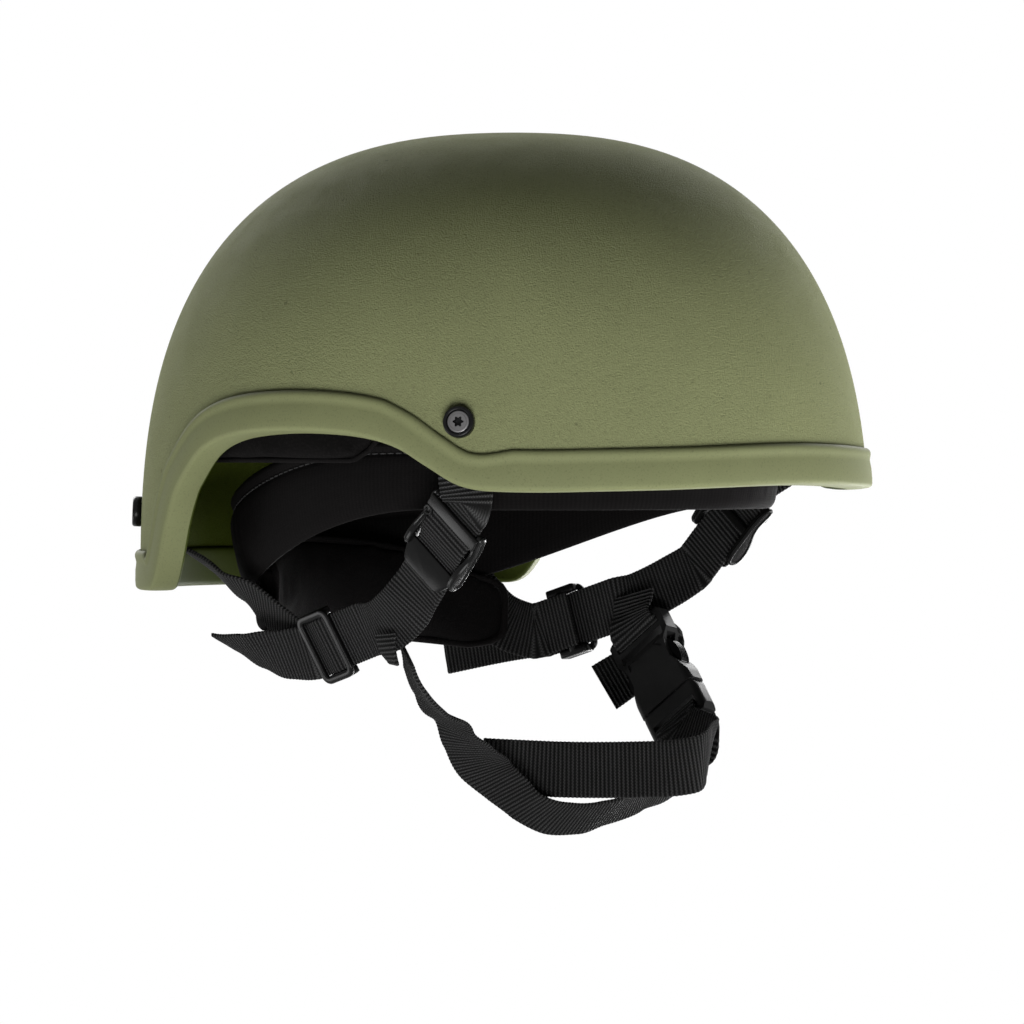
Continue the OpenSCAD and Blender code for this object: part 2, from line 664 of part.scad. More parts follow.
// Side rail with a bowed outer edge, deeper in the middle, where it carries the inner bar
module rail(length, sink) {
    top = bar_face + bar_t;
    half = length / 2;
    steps = 10;
    rotate([90, 0, 90]) linear_extrude(rail_w, center = true)
        polygon(concat(
            [[-half, 0], [-half + 1.5, -0.9], [-half * 0.45, -sink], [half * 0.45, -sink], [half - 1.5, -0.9], [half, 0]],
            [for (i = [0:steps]) [mix(half, -half, i / steps), top - 0.5 + sin(180 * i / steps)]]
        ));
}

module adjuster(side) {
    half = adjuster_len / 2;
    sink = bar_face + bar_t;
    color(plastic) on_side(side) hardware(adjuster_at[side], adjuster_across[side], adjuster_run[side]) union() {
        for (x = [-1, 1]) translate([x * (slot_w + rail_w) / 2, 0, 0]) rail(adjuster_len, sink);
        bar(-half + bar_w, bar_face);
        bar(0, -sink);
        bar(half - bar_w / 2, bar_face);
        // Thumb tab, raised away from the webbing
        translate([0, half - 0.2, bar_face]) rotate([12, 0, 0]) linear_extrude(bar_t)
            polygon([[-frame_w / 2 + 1.5, -1], [frame_w / 2 - 1.5, -1], [frame_w / 2 - 5, thumb_tab],
                [-frame_w / 2 + 5, thumb_tab]]);
    }
}

module right_adjuster() {
    adjuster(RIGHT);
}

module left_adjuster() {
    adjuster(LEFT);
}

module rounded(w, l, r) {
    square([w - 2 * r, l], center = true);
    square([w, l - 2 * r], center = true);
    for (x = [-1, 1]) for (y = [-1, 1]) translate([x * (w / 2 - r), y * (l / 2 - r)]) circle(r);
}

module slider(side) {
    sink = bar_face + bar_t;
    color(plastic) on_side(side) hardware(slider_at[side], slider_across[side], slider_run[side]) union() {
        translate([0, 0, bar_face]) linear_extrude(bar_t) difference() {
            rounded(frame_w, slider_len, 2.5);
            rounded(slot_w, slider_len - 2 * bar_w, 1);
        }
        for (x = [-1, 1]) translate([x * (slot_w + rail_w) / 2, 0, -sink])
            linear_extrude(2 * sink - 0.5) square([rail_w, slider_len - 6], center = true);
        bar(0, -sink);
    }
}

module right_slider() {
    slider(RIGHT);
}

module left_slider() {
    slider(LEFT);
}

// Buckle: X across, Y from the ladder to the mouth, Z away from the head
buckle_at = [75, 3.5, -51];
buckle_across = [0.102, -0.78, 0.618];
buckle_run = [-0.164, -0.623, -0.765];
module at_buckle() {
    place(buckle_at, buckle_across, buckle_run) children();
}
// Point in the buckle's own axes, carried to the helmet's
function buckle_x() = unit(buckle_across);
function buckle_y() = unit(square_to(buckle_run, buckle_x()));
function buckle_dir(p) = buckle_x() * p[0] + buckle_y() * p[1] + cross(buckle_x(), buckle_y()) * p[2];
function from_buckle(p) = buckle_at + buckle_dir(p);

// Half widths down the socket: ladder, waist at the prong windows, flared mouth
socket_sides = [[0, 0.43], [1.6, 0.485], [10, 0.485], [13.5, 0.39], [17, 0.36], [21.5, 0.36], [25.5, 0.43],
    [29.5, 0.485], [34, 0.5]];
socket_scale = socket_len / 34;
cavity_w = 0.36 * buckle_w - 0.8;
prong_root = socket_len + mouth_gap;
prong_out = cavity_w - 0.4;
prong_in = prong_out - 2.6;
catch_y = socket_len - 9;
catch_out = 0.44 * buckle_w;
tip_y = catch_y - 12;

// Section of the buckle across its run, with rounded edges
module buckle_section(w, t) {
    r = t * 0.32;
    rounded(w, t, r);
}

module socket_blank() {
    intersection() {
        translate([0, 0, -buckle_t]) linear_extrude(2 * buckle_t) polygon(concat(
            [for (q = socket_sides) [q[1] * buckle_w, q[0] * socket_scale]],
            [for (i = [len(socket_sides) - 1:-1:0])
                [-socket_sides[i][1] * buckle_w, socket_sides[i][0] * socket_scale]]
        ));
        translate([0, socket_len + 1, 0]) rotate([90, 0, 0]) linear_extrude(socket_len + 2)
            buckle_section(buckle_w, buckle_t);
        // Side profile: thin at the ladder, full thickness over the prongs
        rotate([90, 0, 90]) linear_extrude(2 * buckle_w, center = true) polygon([[0, -2.2], [1, -2.8], [9, -2.8],
            [14, -buckle_t / 2], [socket_len, -buckle_t / 2], [socket_len, buckle_t / 2], [14, buckle_t / 2],
            [9, 2.8], [1, 2.8], [0, 2.2]]);
    }
}

ladder_bar = 2.6;
ladder_slot = 3.2;
module buckle_socket() {
    cavity_t = prong_t + 0.6;
    color(plastic) at_buckle() difference() {
        socket_blank();
        // Ladder slots
        for (y = [ladder_bar, 2 * ladder_bar + ladder_slot - 0.6])
            translate([-slot_w / 2, y, -buckle_t]) cube([slot_w, ladder_slot, 2 * buckle_t]);
        // Cavity for the plug, open at the mouth
        translate([-cavity_w, tip_y - 1.5, -cavity_t / 2]) cube([2 * cavity_w, socket_len, cavity_t]);
        // Windows in both sides, through which the prongs are pressed
        for (x = [-1, 1]) translate([x * buckle_w / 2, (tip_y + catch_y) / 2 - 0.3, 0])
            cube([buckle_w - 2 * prong_in, catch_y - tip_y + 2.4, cavity_t], center = true);
        // Two small sink marks and two triangular pockets on each face
        for (x = [-1, 1]) for (z = [-1, 1]) {
            translate([x * 9.6, 10.6, z * (buckle_t / 2 - 0.8)]) cylinder(d = 2, h = 3, center = true);
            translate([x * 6.6, 14.2, z * buckle_t / 2]) linear_extrude(1.6, center = true)
                polygon([[-1.7, -1.5], [1.7, -1.5], [x * 1.7, 2]]);
        }
    }
}

plug_bar = 2.8;
plug_window = 4.6;
module buckle_plug() {
    base_t = buckle_t - 1.6;
    color(plastic) at_buckle() union() {
        // Base with the bar that the chin strap loops round
        translate([0, prong_root, 0]) intersection() {
            difference() {
                translate([0, 0, -base_t / 2]) linear_extrude(base_t) polygon([[-buckle_w * 0.46, 0],
                    [buckle_w * 0.46, 0], [buckle_w * 0.5, 2.5], [buckle_w * 0.5, plug_base - 2.5],
                    [buckle_w * 0.45, plug_base], [-buckle_w * 0.45, plug_base],
                    [-buckle_w * 0.5, plug_base - 2.5], [-buckle_w * 0.5, 2.5]]);
                translate([-slot_w / 2, plug_base - plug_bar - plug_window, -buckle_t])
                    cube([slot_w, plug_window, 2 * buckle_t]);
            }
            translate([0, plug_base + 1, 0]) rotate([90, 0, 0]) linear_extrude(plug_base + 2)
                buckle_section(buckle_w, base_t);
        }
        // Central guide tongue
        translate([-1.6, tip_y + 3, -prong_t / 2]) cube([3.2, prong_root - tip_y - 2.5, prong_t]);
    }
}

prong_gap = 0.25;
module prong(side) {
    at_buckle() translate([0, 0, -prong_t / 2]) linear_extrude(prong_t) polygon([
        [side * prong_in, prong_root - prong_gap], [side * prong_out, prong_root - prong_gap],
        [side * prong_out, catch_y + 0.6], [side * (catch_out - 0.6), catch_y], [side * catch_out, catch_y - 0.8],
        [side * (catch_out - 0.4), catch_y - 4], [side * (catch_out - 2), catch_y - 8],
        [side * (prong_in + 1.2), tip_y], [side * prong_in, tip_y + 0.8]]);
}

module front_prong() {
    color(plastic) prong(1);
}

module rear_prong() {
    color(plastic) prong(-1);
}

// Buckle strap: sewn to the left front strap's inner face, then over the ladder bar, through the slot
// and out behind the socket, where its end hangs free
module buckle_strap() {
    slot_y = ladder_bar + ladder_slot / 2;
    color(webbing) ribbon([for (q = [
        [[5.5, -11, -0.9], [1, 0, 0]],
        [[3, -6.5, -2], [1, 0, 0]],
        [[0.8, -2.5, -3.6], [1, 0, 0]],
        [[0, 1, -4.1], [1, 0, 0]],
        [[0, slot_y - 0.25, -3.2], [1, 0, 0]],
        [[0, slot_y, 0], [1, 0, 0]],
        [[0, slot_y, 4.5], [1, 0, 0]],
        [[0, slot_y + 0.5, 8], [1, 0, 0]],
        [[-4, slot_y + 1.5, 11], [0.75, 0.6, 0]],
        [[-13, slot_y + 2, 9.5], [0.35, 0.9, 0.1]],
        [[-22.5, slot_y + 2.5, 6], [0.27, 0.9, 0.2]]
    ]) [from_buckle(q[0]), buckle_dir(q[1])]], 3);
}

// Chin strap: from the right junction under the chin to the plug's bar, and back over itself
bar_y = prong_root + plug_base - plug_bar / 2;
bar_clear = (buckle_t - 1.6) / 2 + web_gap + web_t / 2 + 0.1;
window_y = bar_y - plug_bar / 2 - plug_window / 2;
chin_points = [
    [[-76.6, -16.5, -55.5], [-0.71, -0.70, 0.03]],
    [[-68.6, -15, -66.2], [-0.69, -0.72, 0.06]],
    [[-55.7, -11.7, -75.6], [-0.67, -0.73, 0.10]],
    [[-42.4, -8.9, -82.4], [-0.58, -0.79, 0.19]],
    [[-32.1, -7, -90.5], [-0.35, -0.88, 0.33]],
    [[-18.5, -4.5, -99.9], [-0.11, -0.84, 0.53]],
    [[-9.8, -6.9, -106.8], [-0.22, -0.81, 0.54]],
    [[-3, -10.4, -113], [-0.40, -0.75, 0.54]],
    [[7.3, -14.7, -117.2], [-0.54, -0.60, 0.59]],
    [[20, -18.9, -117.6], [-0.71, -0.52, 0.47]],
    [[31.7, -21.8, -115.1], [-0.81, -0.52, 0.27]],
    [[48, -23.6, -109.2], [-0.75, -0.48, 0.45]],
    [[68, -24.5, -103.5], [-0.2, -0.68, 0.72]]
];
module chin_strap() {
    color(webbing) ribbon(concat(chin_points, [[from_buckle([0, bar_y + 4, bar_clear]), buckle_across],
        [from_buckle([0, bar_y - 1, bar_clear]), buckle_across],
        [from_buckle([0, window_y, bar_clear - 1.5]), buckle_across],
        [from_buckle([0, window_y, 0.2]), buckle_across]]), 3);
}

module chin_strap_return() {
    color(webbing) ribbon([
        [from_buckle([0, window_y, -0.2]), buckle_across],
        [from_buckle([0, window_y, 1.5 - bar_clear]), buckle_across],
        [from_buckle([0, bar_y - 1, -bar_clear]), buckle_across],
        [from_buckle([0, bar_y + 3, -bar_clear - 0.9]), buckle_across],
        [[56.5, -44.5, -91], [0.04, -0.36, 0.93]],
        [[46.9, -52, -93.7], [0.07, -0.1, 0.98]],
        [[37.8, -56.7, -96.8], [0.05, -0.06, 0.99]],
        [[31.9, -56, -98.3], [0.03, -0.04, 1]],
        [[24.3, -48.6, -99.4], [0, 0, 1]],
        [[3.6, -18.7, -99.7], [-0.06, -0.05, 1]],
        [[-10.8, 3.8, -97.8], [-0.28, -0.24, 0.93]]
    ], 3);
}

// Folded tab that holds the chin strap's end to the lower edge of the right front strap
module chin_strap_tab() {
    color(webbing) ribbon([
        [[-83.4, -13.9, -50], [0, -1, 0]],
        [[-83, -14.4, -55], [-0.2, -0.95, 0]],
        [[-80.5, -15.5, -60.5], [-0.5, -0.85, 0]]
    ], 3, 9);
}

shell();
edge_trim();
temple_screws();
rear_screws();
screw_collars();
sleeve_nuts();
strap_eyelets();
hook_patches();
crown_pad();
front_pad();
rear_pad();
right_side_pad();
left_side_pad();
headband();
nape_pad();
right_front_strap();
left_front_strap();
right_rear_strap();
left_rear_strap();
right_adjuster();
left_adjuster();
right_slider();
left_slider();
chin_strap();
chin_strap_return();
chin_strap_tab();
buckle_strap();
buckle_socket();
buckle_plug();
front_prong();
rear_prong();
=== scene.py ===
"""Combat helmet with edge trim, padding and a webbing harness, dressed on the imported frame."""
import math

import bpy
import numpy as np
from bpy.props import FloatProperty, FloatVectorProperty, PointerProperty
from mathutils import Matrix, Vector


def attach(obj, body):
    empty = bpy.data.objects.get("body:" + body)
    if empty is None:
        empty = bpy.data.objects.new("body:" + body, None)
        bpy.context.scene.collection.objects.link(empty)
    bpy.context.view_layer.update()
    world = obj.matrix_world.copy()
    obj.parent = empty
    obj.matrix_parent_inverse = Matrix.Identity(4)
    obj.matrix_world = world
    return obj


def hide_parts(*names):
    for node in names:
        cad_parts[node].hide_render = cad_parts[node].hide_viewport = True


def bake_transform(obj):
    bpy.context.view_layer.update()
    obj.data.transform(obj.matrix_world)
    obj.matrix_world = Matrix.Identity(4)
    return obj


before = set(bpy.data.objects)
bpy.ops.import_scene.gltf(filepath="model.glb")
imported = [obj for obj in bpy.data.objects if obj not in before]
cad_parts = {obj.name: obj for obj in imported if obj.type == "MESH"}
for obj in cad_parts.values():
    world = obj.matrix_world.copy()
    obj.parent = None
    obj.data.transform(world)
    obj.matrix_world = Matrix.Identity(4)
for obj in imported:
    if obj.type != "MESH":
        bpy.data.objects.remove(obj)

bl_info = {
    "name": "Combat helmet",
    "version": (1, 0, 0),
    "blender": (4, 5, 0),
    "location": "View3D > Sidebar > Helmet",
    "description": "Dresses the packed frame of a combat helmet with its shell, padding, webbing and hardware",
    "category": "Object",
}

MM = 0.001
LEFT, RIGHT = 1, -1
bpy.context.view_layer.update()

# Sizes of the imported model, in millimetres
HALF_WIDTH, FRONT_LENGTH, REAR_LENGTH = 121.2, 131.3, 140.6
CROWN_HEIGHT, PLUMB_DEPTH = 126.1, 37.5
SHOULDER, WALL_ROUND = 2.535, 2.78
DOME_RISE = CROWN_HEIGHT + PLUMB_DEPTH
WALL, ARCH_RISE, NAPE_DROP = 7.0, 20.0, 36.0
TRIM_HEIGHT, TRIM_LEG, TRIM_WEB, FIT_GAP = 14.0, 1.4, 2.0, 0.3
TEMPLE_ANGLE, TEMPLE_HEIGHT, REAR_ANGLE, REAR_BOLT_DROP = 30.1, 23.0, 52.0, 8.5
PAD_THICK, PAD_BOTTOM, PAD_TOP, TAPE = 20.0, 9.0, 66.0, 1.3
PAD_SKIN = -WALL - FIT_GAP - max(TAPE + 0.5, TRIM_LEG + FIT_GAP) - 0.1
WEB_WIDTH, WEB_THICK, WEB_GAP, BAR_THICK, BAR_WIDTH = 20.0, 1.5, 0.3, 1.8, 3.2
STRAP_DEPTH = -WALL - TRIM_LEG - 2 * FIT_GAP - 0.4 - WEB_THICK / 2
ADJUSTER_LEN, ADJUSTER_TRAVEL, THUMB_TAB = 24.0, 8.0, 6.0
SLIDER_LEN, SLIDER_TRAVEL = 17.0, 10.0
BUCKLE_WIDTH, BUCKLE_THICK, SOCKET_LEN, PLUG_BASE, MOUTH_GAP = 27.0, 9.0, 34.0, 13.0, 0.4

# Height of the shell's lower edge: angle, then a share of the nape's drop or of the ear arch's rise
RIM_SHARES = np.array([
    (-90, -1), (-60, -1), (-38, -1), (-34, -0.95), (-31, -0.7), (-28, -0.3), (-24, 0.12), (-19, 0.62),
    (-13, 0.88), (-4, 1), (6, 1), (14, 0.91), (20, 0.72), (25, 0.4), (30, 0.09), (36, 0), (60, 0.02),
    (90, 0.1)], float)


# Sums on arrays of points

def unit(v):
    """Each vector at length 1."""
    return v / np.maximum(np.linalg.norm(v, axis=-1, keepdims=True), 1e-12)


def mix(a, b, t):
    """Part t of the way from a to b."""
    return a + (b - a) * t


def ease(t):
    """Smooth step from 0 to 1."""
    t = np.clip(t, 0, 1)
    return t * t * (3 - 2 * t)


def square_to(v, n):
    """The part of v that is square to the unit vector n."""
    return v - n * np.sum(v * n, axis=-1, keepdims=True)


def between(t, run, first, last, first_slope, last_slope):
    """Value at share t of a smooth stretch of this run, with its values and slopes at both ends."""
    return ((2 * t**3 - 3 * t**2 + 1) * first + (t**3 - 2 * t**2 + t) * run * first_slope
            + (3 * t**2 - 2 * t**3) * last + (t**3 - t**2) * run * last_slope)


def run_along(points):
    """Distance of each point along a row of points."""
    return np.concatenate([[0], np.cumsum(np.linalg.norm(np.diff(points, axis=0), axis=1))])


def smooth_line(line, x):
    """Value at x of a smooth line through rows of x and value."""
    xs, ys = line[:, 0], line[:, 1]
    slopes = np.zeros(len(xs))
    slopes[1:-1] = (ys[2:] - ys[:-2]) / (xs[2:] - xs[:-2])
    i = np.clip(np.searchsorted(xs, x, side="left") - 1, 0, len(xs) - 2)
    run = xs[i + 1] - xs[i]
    return between(np.clip((x - xs[i]) / run, 0, 1), run, ys[i], ys[i + 1], slopes[i], slopes[i + 1])


def ripple(x, y, pitch, seed):
    """Soft unevenness between about -1 and 1, the same on every run."""
    dice = np.random.default_rng(seed)
    whole_turn, waves, total = 6.28, 6, 0
    for _ in range(waves):
        turn, phase, stretch = dice.uniform(0, math.pi), dice.uniform(0, whole_turn), dice.uniform(0.6, 1.6)
        total = total + np.sin((x * math.cos(turn) + y * math.sin(turn)) * whole_turn / (pitch * stretch) + phase)
    return total * 2 / waves


# The dome: angle 0 at the wearer's left ear, 90 at the brow, -90 at the nape

def rise_share(z):
    return np.clip((z + PLUMB_DEPTH) / DOME_RISE, 0, 1)


def dome_normal(angle, z):
    """Direction out of the dome."""
    cosine, sine = np.cos(np.radians(angle)), np.sin(np.radians(angle))
    length = np.where(sine > 0, FRONT_LENGTH, REAR_LENGTH)
    share = rise_share(z)
    spread = np.maximum((1 - share**WALL_ROUND) ** (1 / SHOULDER), 1e-3)
    pull = SHOULDER * spread ** (SHOULDER - 1)
    return unit(np.stack(np.broadcast_arrays(
        pull * cosine / HALF_WIDTH, -pull * sine / length,
        WALL_ROUND * share ** (WALL_ROUND - 1) / DOME_RISE), -1))


def dome(angle, z, out=0.0):
    """Point of the dome, `out` beyond its outer face."""
    cosine, sine = np.cos(np.radians(angle)), np.sin(np.radians(angle))
    length = np.where(sine > 0, FRONT_LENGTH, REAR_LENGTH)
    spread = (1 - rise_share(z) ** WALL_ROUND) ** (1 / SHOULDER)
    skin = np.stack(np.broadcast_arrays(HALF_WIDTH * cosine * spread, -length * sine * spread, z), -1)
    return skin + np.asarray(out, float)[..., None] * dome_normal(angle, z)


def angle_of(p):
    """Angle round the dome of a point."""
    length = np.where(p[..., 1] < 0, FRONT_LENGTH, REAR_LENGTH)
    return np.degrees(np.arctan2(-p[..., 1] / length, p[..., 0] / HALF_WIDTH))


def height_at(lean):
    """Height at which the dome leans back by these degrees of its profile."""
    return DOME_RISE * np.sin(np.radians(lean)) ** (2 / WALL_ROUND) - PLUMB_DEPTH


def lean_at(z):
    return np.degrees(np.arcsin(rise_share(z) ** (WALL_ROUND / 2)))


def folded(angle):
    """The angle, or its mirror image on the wearer's left."""
    return np.where(angle > 90, 180 - angle, np.where(angle < -90, -180 - angle, angle))


def rim_height(angle):
    share = smooth_line(RIM_SHARES, folded(angle))
    return share * np.where(share < 0, NAPE_DROP, ARCH_RISE)


def rim_point(angle):
    return dome(angle, rim_height(angle))


def above_rim(angle, up, out):
    """Point `up` the wall from the rim and `out` from the wall's outer face."""
    left = folded(angle)
    along = unit(rim_point(left - 6) - rim_point(left + 6))
    climb = unit(np.cross(dome_normal(left, rim_height(left)), along))
    p = rim_point(left) + np.asarray(up, float)[..., None] * climb
    p = dome(angle_of(p), p[..., 2], out)
    return p * np.where((angle > 90) | (angle < -90), -1, 1)[..., None] ** np.array([1, 0, 0])


def bolt_frame(which, side):
    """Centre on the dome's outer face, then the directions across, up the wall and out, of a bolt."""
    angle = TEMPLE_ANGLE if which == "temple" else -REAR_ANGLE
    z = TEMPLE_HEIGHT if which == "temple" else -REAR_BOLT_DROP
    flip = np.array([side, 1, 1])
    out = dome_normal(angle, z)
    across = unit(np.cross([0, 0, 1], out))
    return dome(angle, z) * flip, across * flip, np.cross(out, across) * flip, out * flip


# Meshes

def new_object(name, shape, finish, body="helmet", smooth_angle=None, node=None):
    """Puts a mesh, or a list of parts, in the scene with its finish.

    It rides on a body if one is named, and stands for a CAD node if one is named."""
    mesh = joined_mesh(name, shape) if isinstance(shape, list) else shape
    mesh.materials.append(finish)
    mesh.polygons.foreach_set("use_smooth", [True] * len(mesh.polygons))
    if smooth_angle:
        mesh.set_sharp_from_angle(angle=math.radians(smooth_angle))
    piece = bpy.data.objects.new(name, mesh)
    bpy.context.scene.collection.objects.link(piece)
    if body:
        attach(piece, body)
    if node:
        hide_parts(node)
    return piece


def skin_mesh(name, grid, wrap_rows=False, wrap_cols=False, poles=None, ends=False, u=None, v=None):
    """Mesh over a grid of points in millimetres, faced outwards, with texture places in metres.

    poles closes the first and last row in a point each, and ends closes them with one flat face each."""
    rows, cols = grid.shape[:2]
    points = grid.reshape(-1, 3)
    r, c = np.meshgrid(np.arange(rows if wrap_rows else rows - 1), np.arange(cols if wrap_cols else cols - 1),
                       indexing="ij")
    r, c = r.ravel(), c.ravel()
    corners = ((r, c), (r, c + 1), (r + 1, c + 1), (r + 1, c))
    faces = np.stack([(a % rows) * cols + b % cols for a, b in corners], -1)
    u = np.arange(rows + 1) * 1.0 if u is None else np.append(u, 2 * u[-1] - u[-2])
    v = np.arange(cols + 1) * 1.0 if v is None else np.append(v, 2 * v[-1] - v[-2])
    places = np.stack([np.stack([u[a], v[b]], -1) for a, b in corners], 1) * MM
    faces, places = faces.tolist(), places.tolist()
    first, last = list(range(cols)), [(rows - 1) * cols + i for i in range(cols)]
    if poles is not None:
        points = np.vstack([points, poles])
        for i in range(cols):
            j = (i + 1) % cols
            faces += [[first[j], first[i], len(points) - 2], [last[i], last[j], len(points) - 1]]
            places += [[[0, 0]] * 3] * 2
    if ends:
        faces += [first[::-1], last]
        places += [[[u[0] * MM, v[i] * MM] for i in range(cols)][::-1], [[u[-2] * MM, v[i] * MM] for i in range(cols)]]
    volume = sum(float(np.dot(points[f[0]], np.cross(points[f[1]], points[f[2]]))) for f in faces)
    volume += sum(float(np.dot(points[f[0]], np.cross(points[f[2]], points[f[3]]))) for f in faces if len(f) == 4)
    if volume < 0:
        faces = [f[::-1] for f in faces]
        places = [p[::-1] for p in places]
    mesh = bpy.data.meshes.new(name)
    mesh.from_pydata((points * MM).tolist(), [], faces)
    layer = mesh.uv_layers.new(name="weave")
    layer.data.foreach_set("uv", np.array([q for p in places for q in p], float).ravel())
    mesh.validate()
    return mesh


def joined_mesh(name, parts):
    """One mesh out of several lists of points in millimetres and faces."""
    points, faces = [], []
    for part_points, part_faces in parts:
        faces += [[i + len(points) for i in f] for f in part_faces]
        points += [tuple(p) for p in np.asarray(part_points) * MM]
    mesh = bpy.data.meshes.new(name)
    mesh.from_pydata(points, [], faces)
    mesh.validate()
    return mesh


def tube(route, radius, sides=8, closed=False):
    """Points and faces of a round tube along a route of points."""
    route = np.asarray(route, float)
    if closed:
        along = unit(np.roll(route, -1, 0) - np.roll(route, 1, 0))
    else:
        along = unit(np.gradient(route, axis=0))
    across = [unit(square_to(np.array([0.31, 0.23, 0.92]), along[0]))]
    for direction in along[1:]:
        across.append(unit(square_to(across[-1], direction)))
    across = np.array(across)
    other = np.cross(along, across)
    turn = np.linspace(0, 2 * math.pi, sides, endpoint=False)[None, :, None]
    radius = np.broadcast_to(np.asarray(radius, float), (len(route),))[:, None, None]
    rings = route[:, None] + radius * (np.cos(turn) * across[:, None] + np.sin(turn) * other[:, None])
    return rings.reshape(-1, 3), ring_faces(len(route), sides, closed)


def even_steps(route, step, closed=False):
    """The route's points again, one step apart."""
    route = np.asarray(route, float)
    if closed:
        route = np.vstack([route, route[:1]])
    run = run_along(route)
    count = max(2, int(round(run[-1] / step)))
    places = np.linspace(0, run[-1], count + 1)[:count if closed else count + 1]
    return np.stack([np.interp(places, run, route[:, i]) for i in range(3)], -1)


def stitches(route, outward):
    """Raised thread along a closed route: one short, sunk-ended tube for each stitch."""
    pitch, radii, lift = 3.2, [0.18, 0.3, 0.3, 0.18], np.array([-0.25, 0.12, 0.12, -0.25])[:, None]
    places = even_steps(route, pitch / 4, closed=True)
    out = outward(places)
    return [tube(places[i:i + 4] + lift * out[i:i + 4], radii, 6) for i in range(0, len(places) - 3, 4)]


def lathe(profile, lobes=None, segments=96):
    """Points and faces of a profile of radius and height turned about Z. Lobes waves each radius six times."""
    turn = np.linspace(0, 2 * math.pi, segments, endpoint=False)
    rings = []
    for i, (radius, height) in enumerate(profile):
        wave = radius * (1 + (lobes[i] if lobes else 0) * np.cos(6 * turn))
        rings.append(np.stack([wave * np.cos(turn), wave * np.sin(turn), np.full(segments, height)], -1))
    return np.vstack(rings), ring_faces(len(profile), segments)


def ring_faces(rings, count, wrap=False):
    """Faces between rings of points, with an end face each unless the rings close on themselves."""
    faces = [[s * count + i, s * count + (i + 1) % count, ((s + 1) % rings) * count + (i + 1) % count,
              ((s + 1) % rings) * count + i] for s in range(rings if wrap else rings - 1) for i in range(count)]
    return faces if wrap else faces + [list(range(count))[::-1], [(rings - 1) * count + i for i in range(count)]]


def rounded(width, length, radius, steps=5):
    """Outline of a rounded rectangle, anticlockwise."""
    turn = np.radians(np.linspace(0, 90, steps))
    corners = [np.stack([np.cos(turn + q * math.pi / 2), np.sin(turn + q * math.pi / 2)], -1) * radius
               + np.array([x * (width / 2 - radius), y * (length / 2 - radius)])
               for q, (x, y) in enumerate(((1, 1), (-1, 1), (-1, -1), (1, -1)))]
    return np.vstack(corners)


def outline_normals(outline):
    """Outward directions of an anticlockwise outline."""
    along = unit(np.roll(outline, -1, 0) - np.roll(outline, 1, 0))
    return np.stack([along[:, 1], -along[:, 0]], -1)


def soft_outline(outline, step=0.6):
    """The outline with its corners rounded off a little."""
    points = even_steps(np.column_stack([outline, np.zeros(len(outline))]), step, closed=True)[:, :2]
    for _ in range(2):
        points = (np.roll(points, 1, 0) + 2 * points + np.roll(points, -1, 0)) / 4
    return points


def plate(outline, low, high, edge=0.4, plane="xy"):
    """Points and faces of a slab with rounded edges. plane names the axes of its outline."""
    outline = np.asarray(outline, float)
    outward = outline_normals(outline)
    turn = np.radians(np.linspace(0, 90, 4))
    steps = [(edge * (1 - math.sin(t)), low + edge * (1 - math.cos(t))) for t in turn]
    steps += [(edge * (1 - math.sin(t)), high - edge * (1 - math.cos(t))) for t in turn[::-1]]
    rings = [np.column_stack([outline - inset * outward, np.full(len(outline), z)]) for inset, z in steps]
    points = np.vstack(rings)
    if plane == "yz":
        points = points[:, [2, 0, 1]]
    return points, ring_faces(len(rings), len(outline))


def frame_loop(route, wide, thick, radius, z):
    """Points and faces of a closed flat frame of rounded bars."""
    section = rounded(wide, thick, radius, 4)
    outward = outline_normals(route)
    flat = route[:, None] + outward[:, None] * section[None, :, :1]
    points = np.concatenate([flat, np.broadcast_to(z + section[None, :, 1:], flat.shape[:2] + (1,))], -1)
    return points.reshape(-1, 3), ring_faces(len(route), len(section), wrap=True)


def fitted(parts, at, across, run, side=LEFT):
    """Parts in the axes of a fitting (across the webbing, along it, outwards), carried to the helmet's."""
    run = unit(np.array(run, float))
    across = unit(square_to(np.array(across, float), run))
    out = np.cross(across, run)
    placed = []
    for points, faces in parts:
        p = (np.array(at, float) + points[:, :1] * across + points[:, 1:2] * run + points[:, 2:3] * out)
        placed.append((p * np.array([side, 1, 1]), facing(faces, side)))
    return placed


def facing(faces, side):
    """The faces, turned over for the mirrored side."""
    return [f[::-1] for f in faces] if side == RIGHT else faces


def set_on(part, which, side):
    """A part carried from a bolt's own axes to the helmet's."""
    (points, faces), (centre, across, up, out) = part, bolt_frame(which, side)
    return centre + points[:, :1] * across + points[:, 1:2] * up + points[:, 2:3] * out, facing(faces, side)


# Finishes

WHOLE_TURN = 6.2832
CLOTH_GLOSS, PAINT_GLOSS, PLASTIC_GLOSS, RUBBER_GLOSS = 0.04, 0.06, 0.09, 0.1


def from_screen(red, green, blue):
    """Scene colour of a colour read from the screen, 0 to 255."""
    share = np.array([red, green, blue]) / 255
    return tuple(float(c) for c in np.where(share <= 0.04045, share / 12.92, ((share + 0.055) / 1.055) ** 2.4))


def math_node(operation, turned=False):
    """A method of Value that adds a Math node. turned takes its inputs in the other order."""
    def method(value, *others):
        inputs = (value,) + others
        return value.finish.node("Math", {"operation": operation}, dict(enumerate(inputs[::-1] if turned else inputs)))
    return method


class Value:
    """A socket of a finish. Sums of numbers and these add the Math nodes that work them out."""

    def __init__(self, finish, socket):
        self.finish = finish
        self.socket = socket

    __add__ = __radd__ = math_node("ADD")
    __mul__ = __rmul__ = math_node("MULTIPLY")
    __sub__, __rsub__ = math_node("SUBTRACT"), math_node("SUBTRACT", turned=True)
    __gt__, __lt__, __pow__ = math_node("GREATER_THAN"), math_node("LESS_THAN"), math_node("POWER")
    cosine, floor = math_node("COSINE"), math_node("FLOOR")


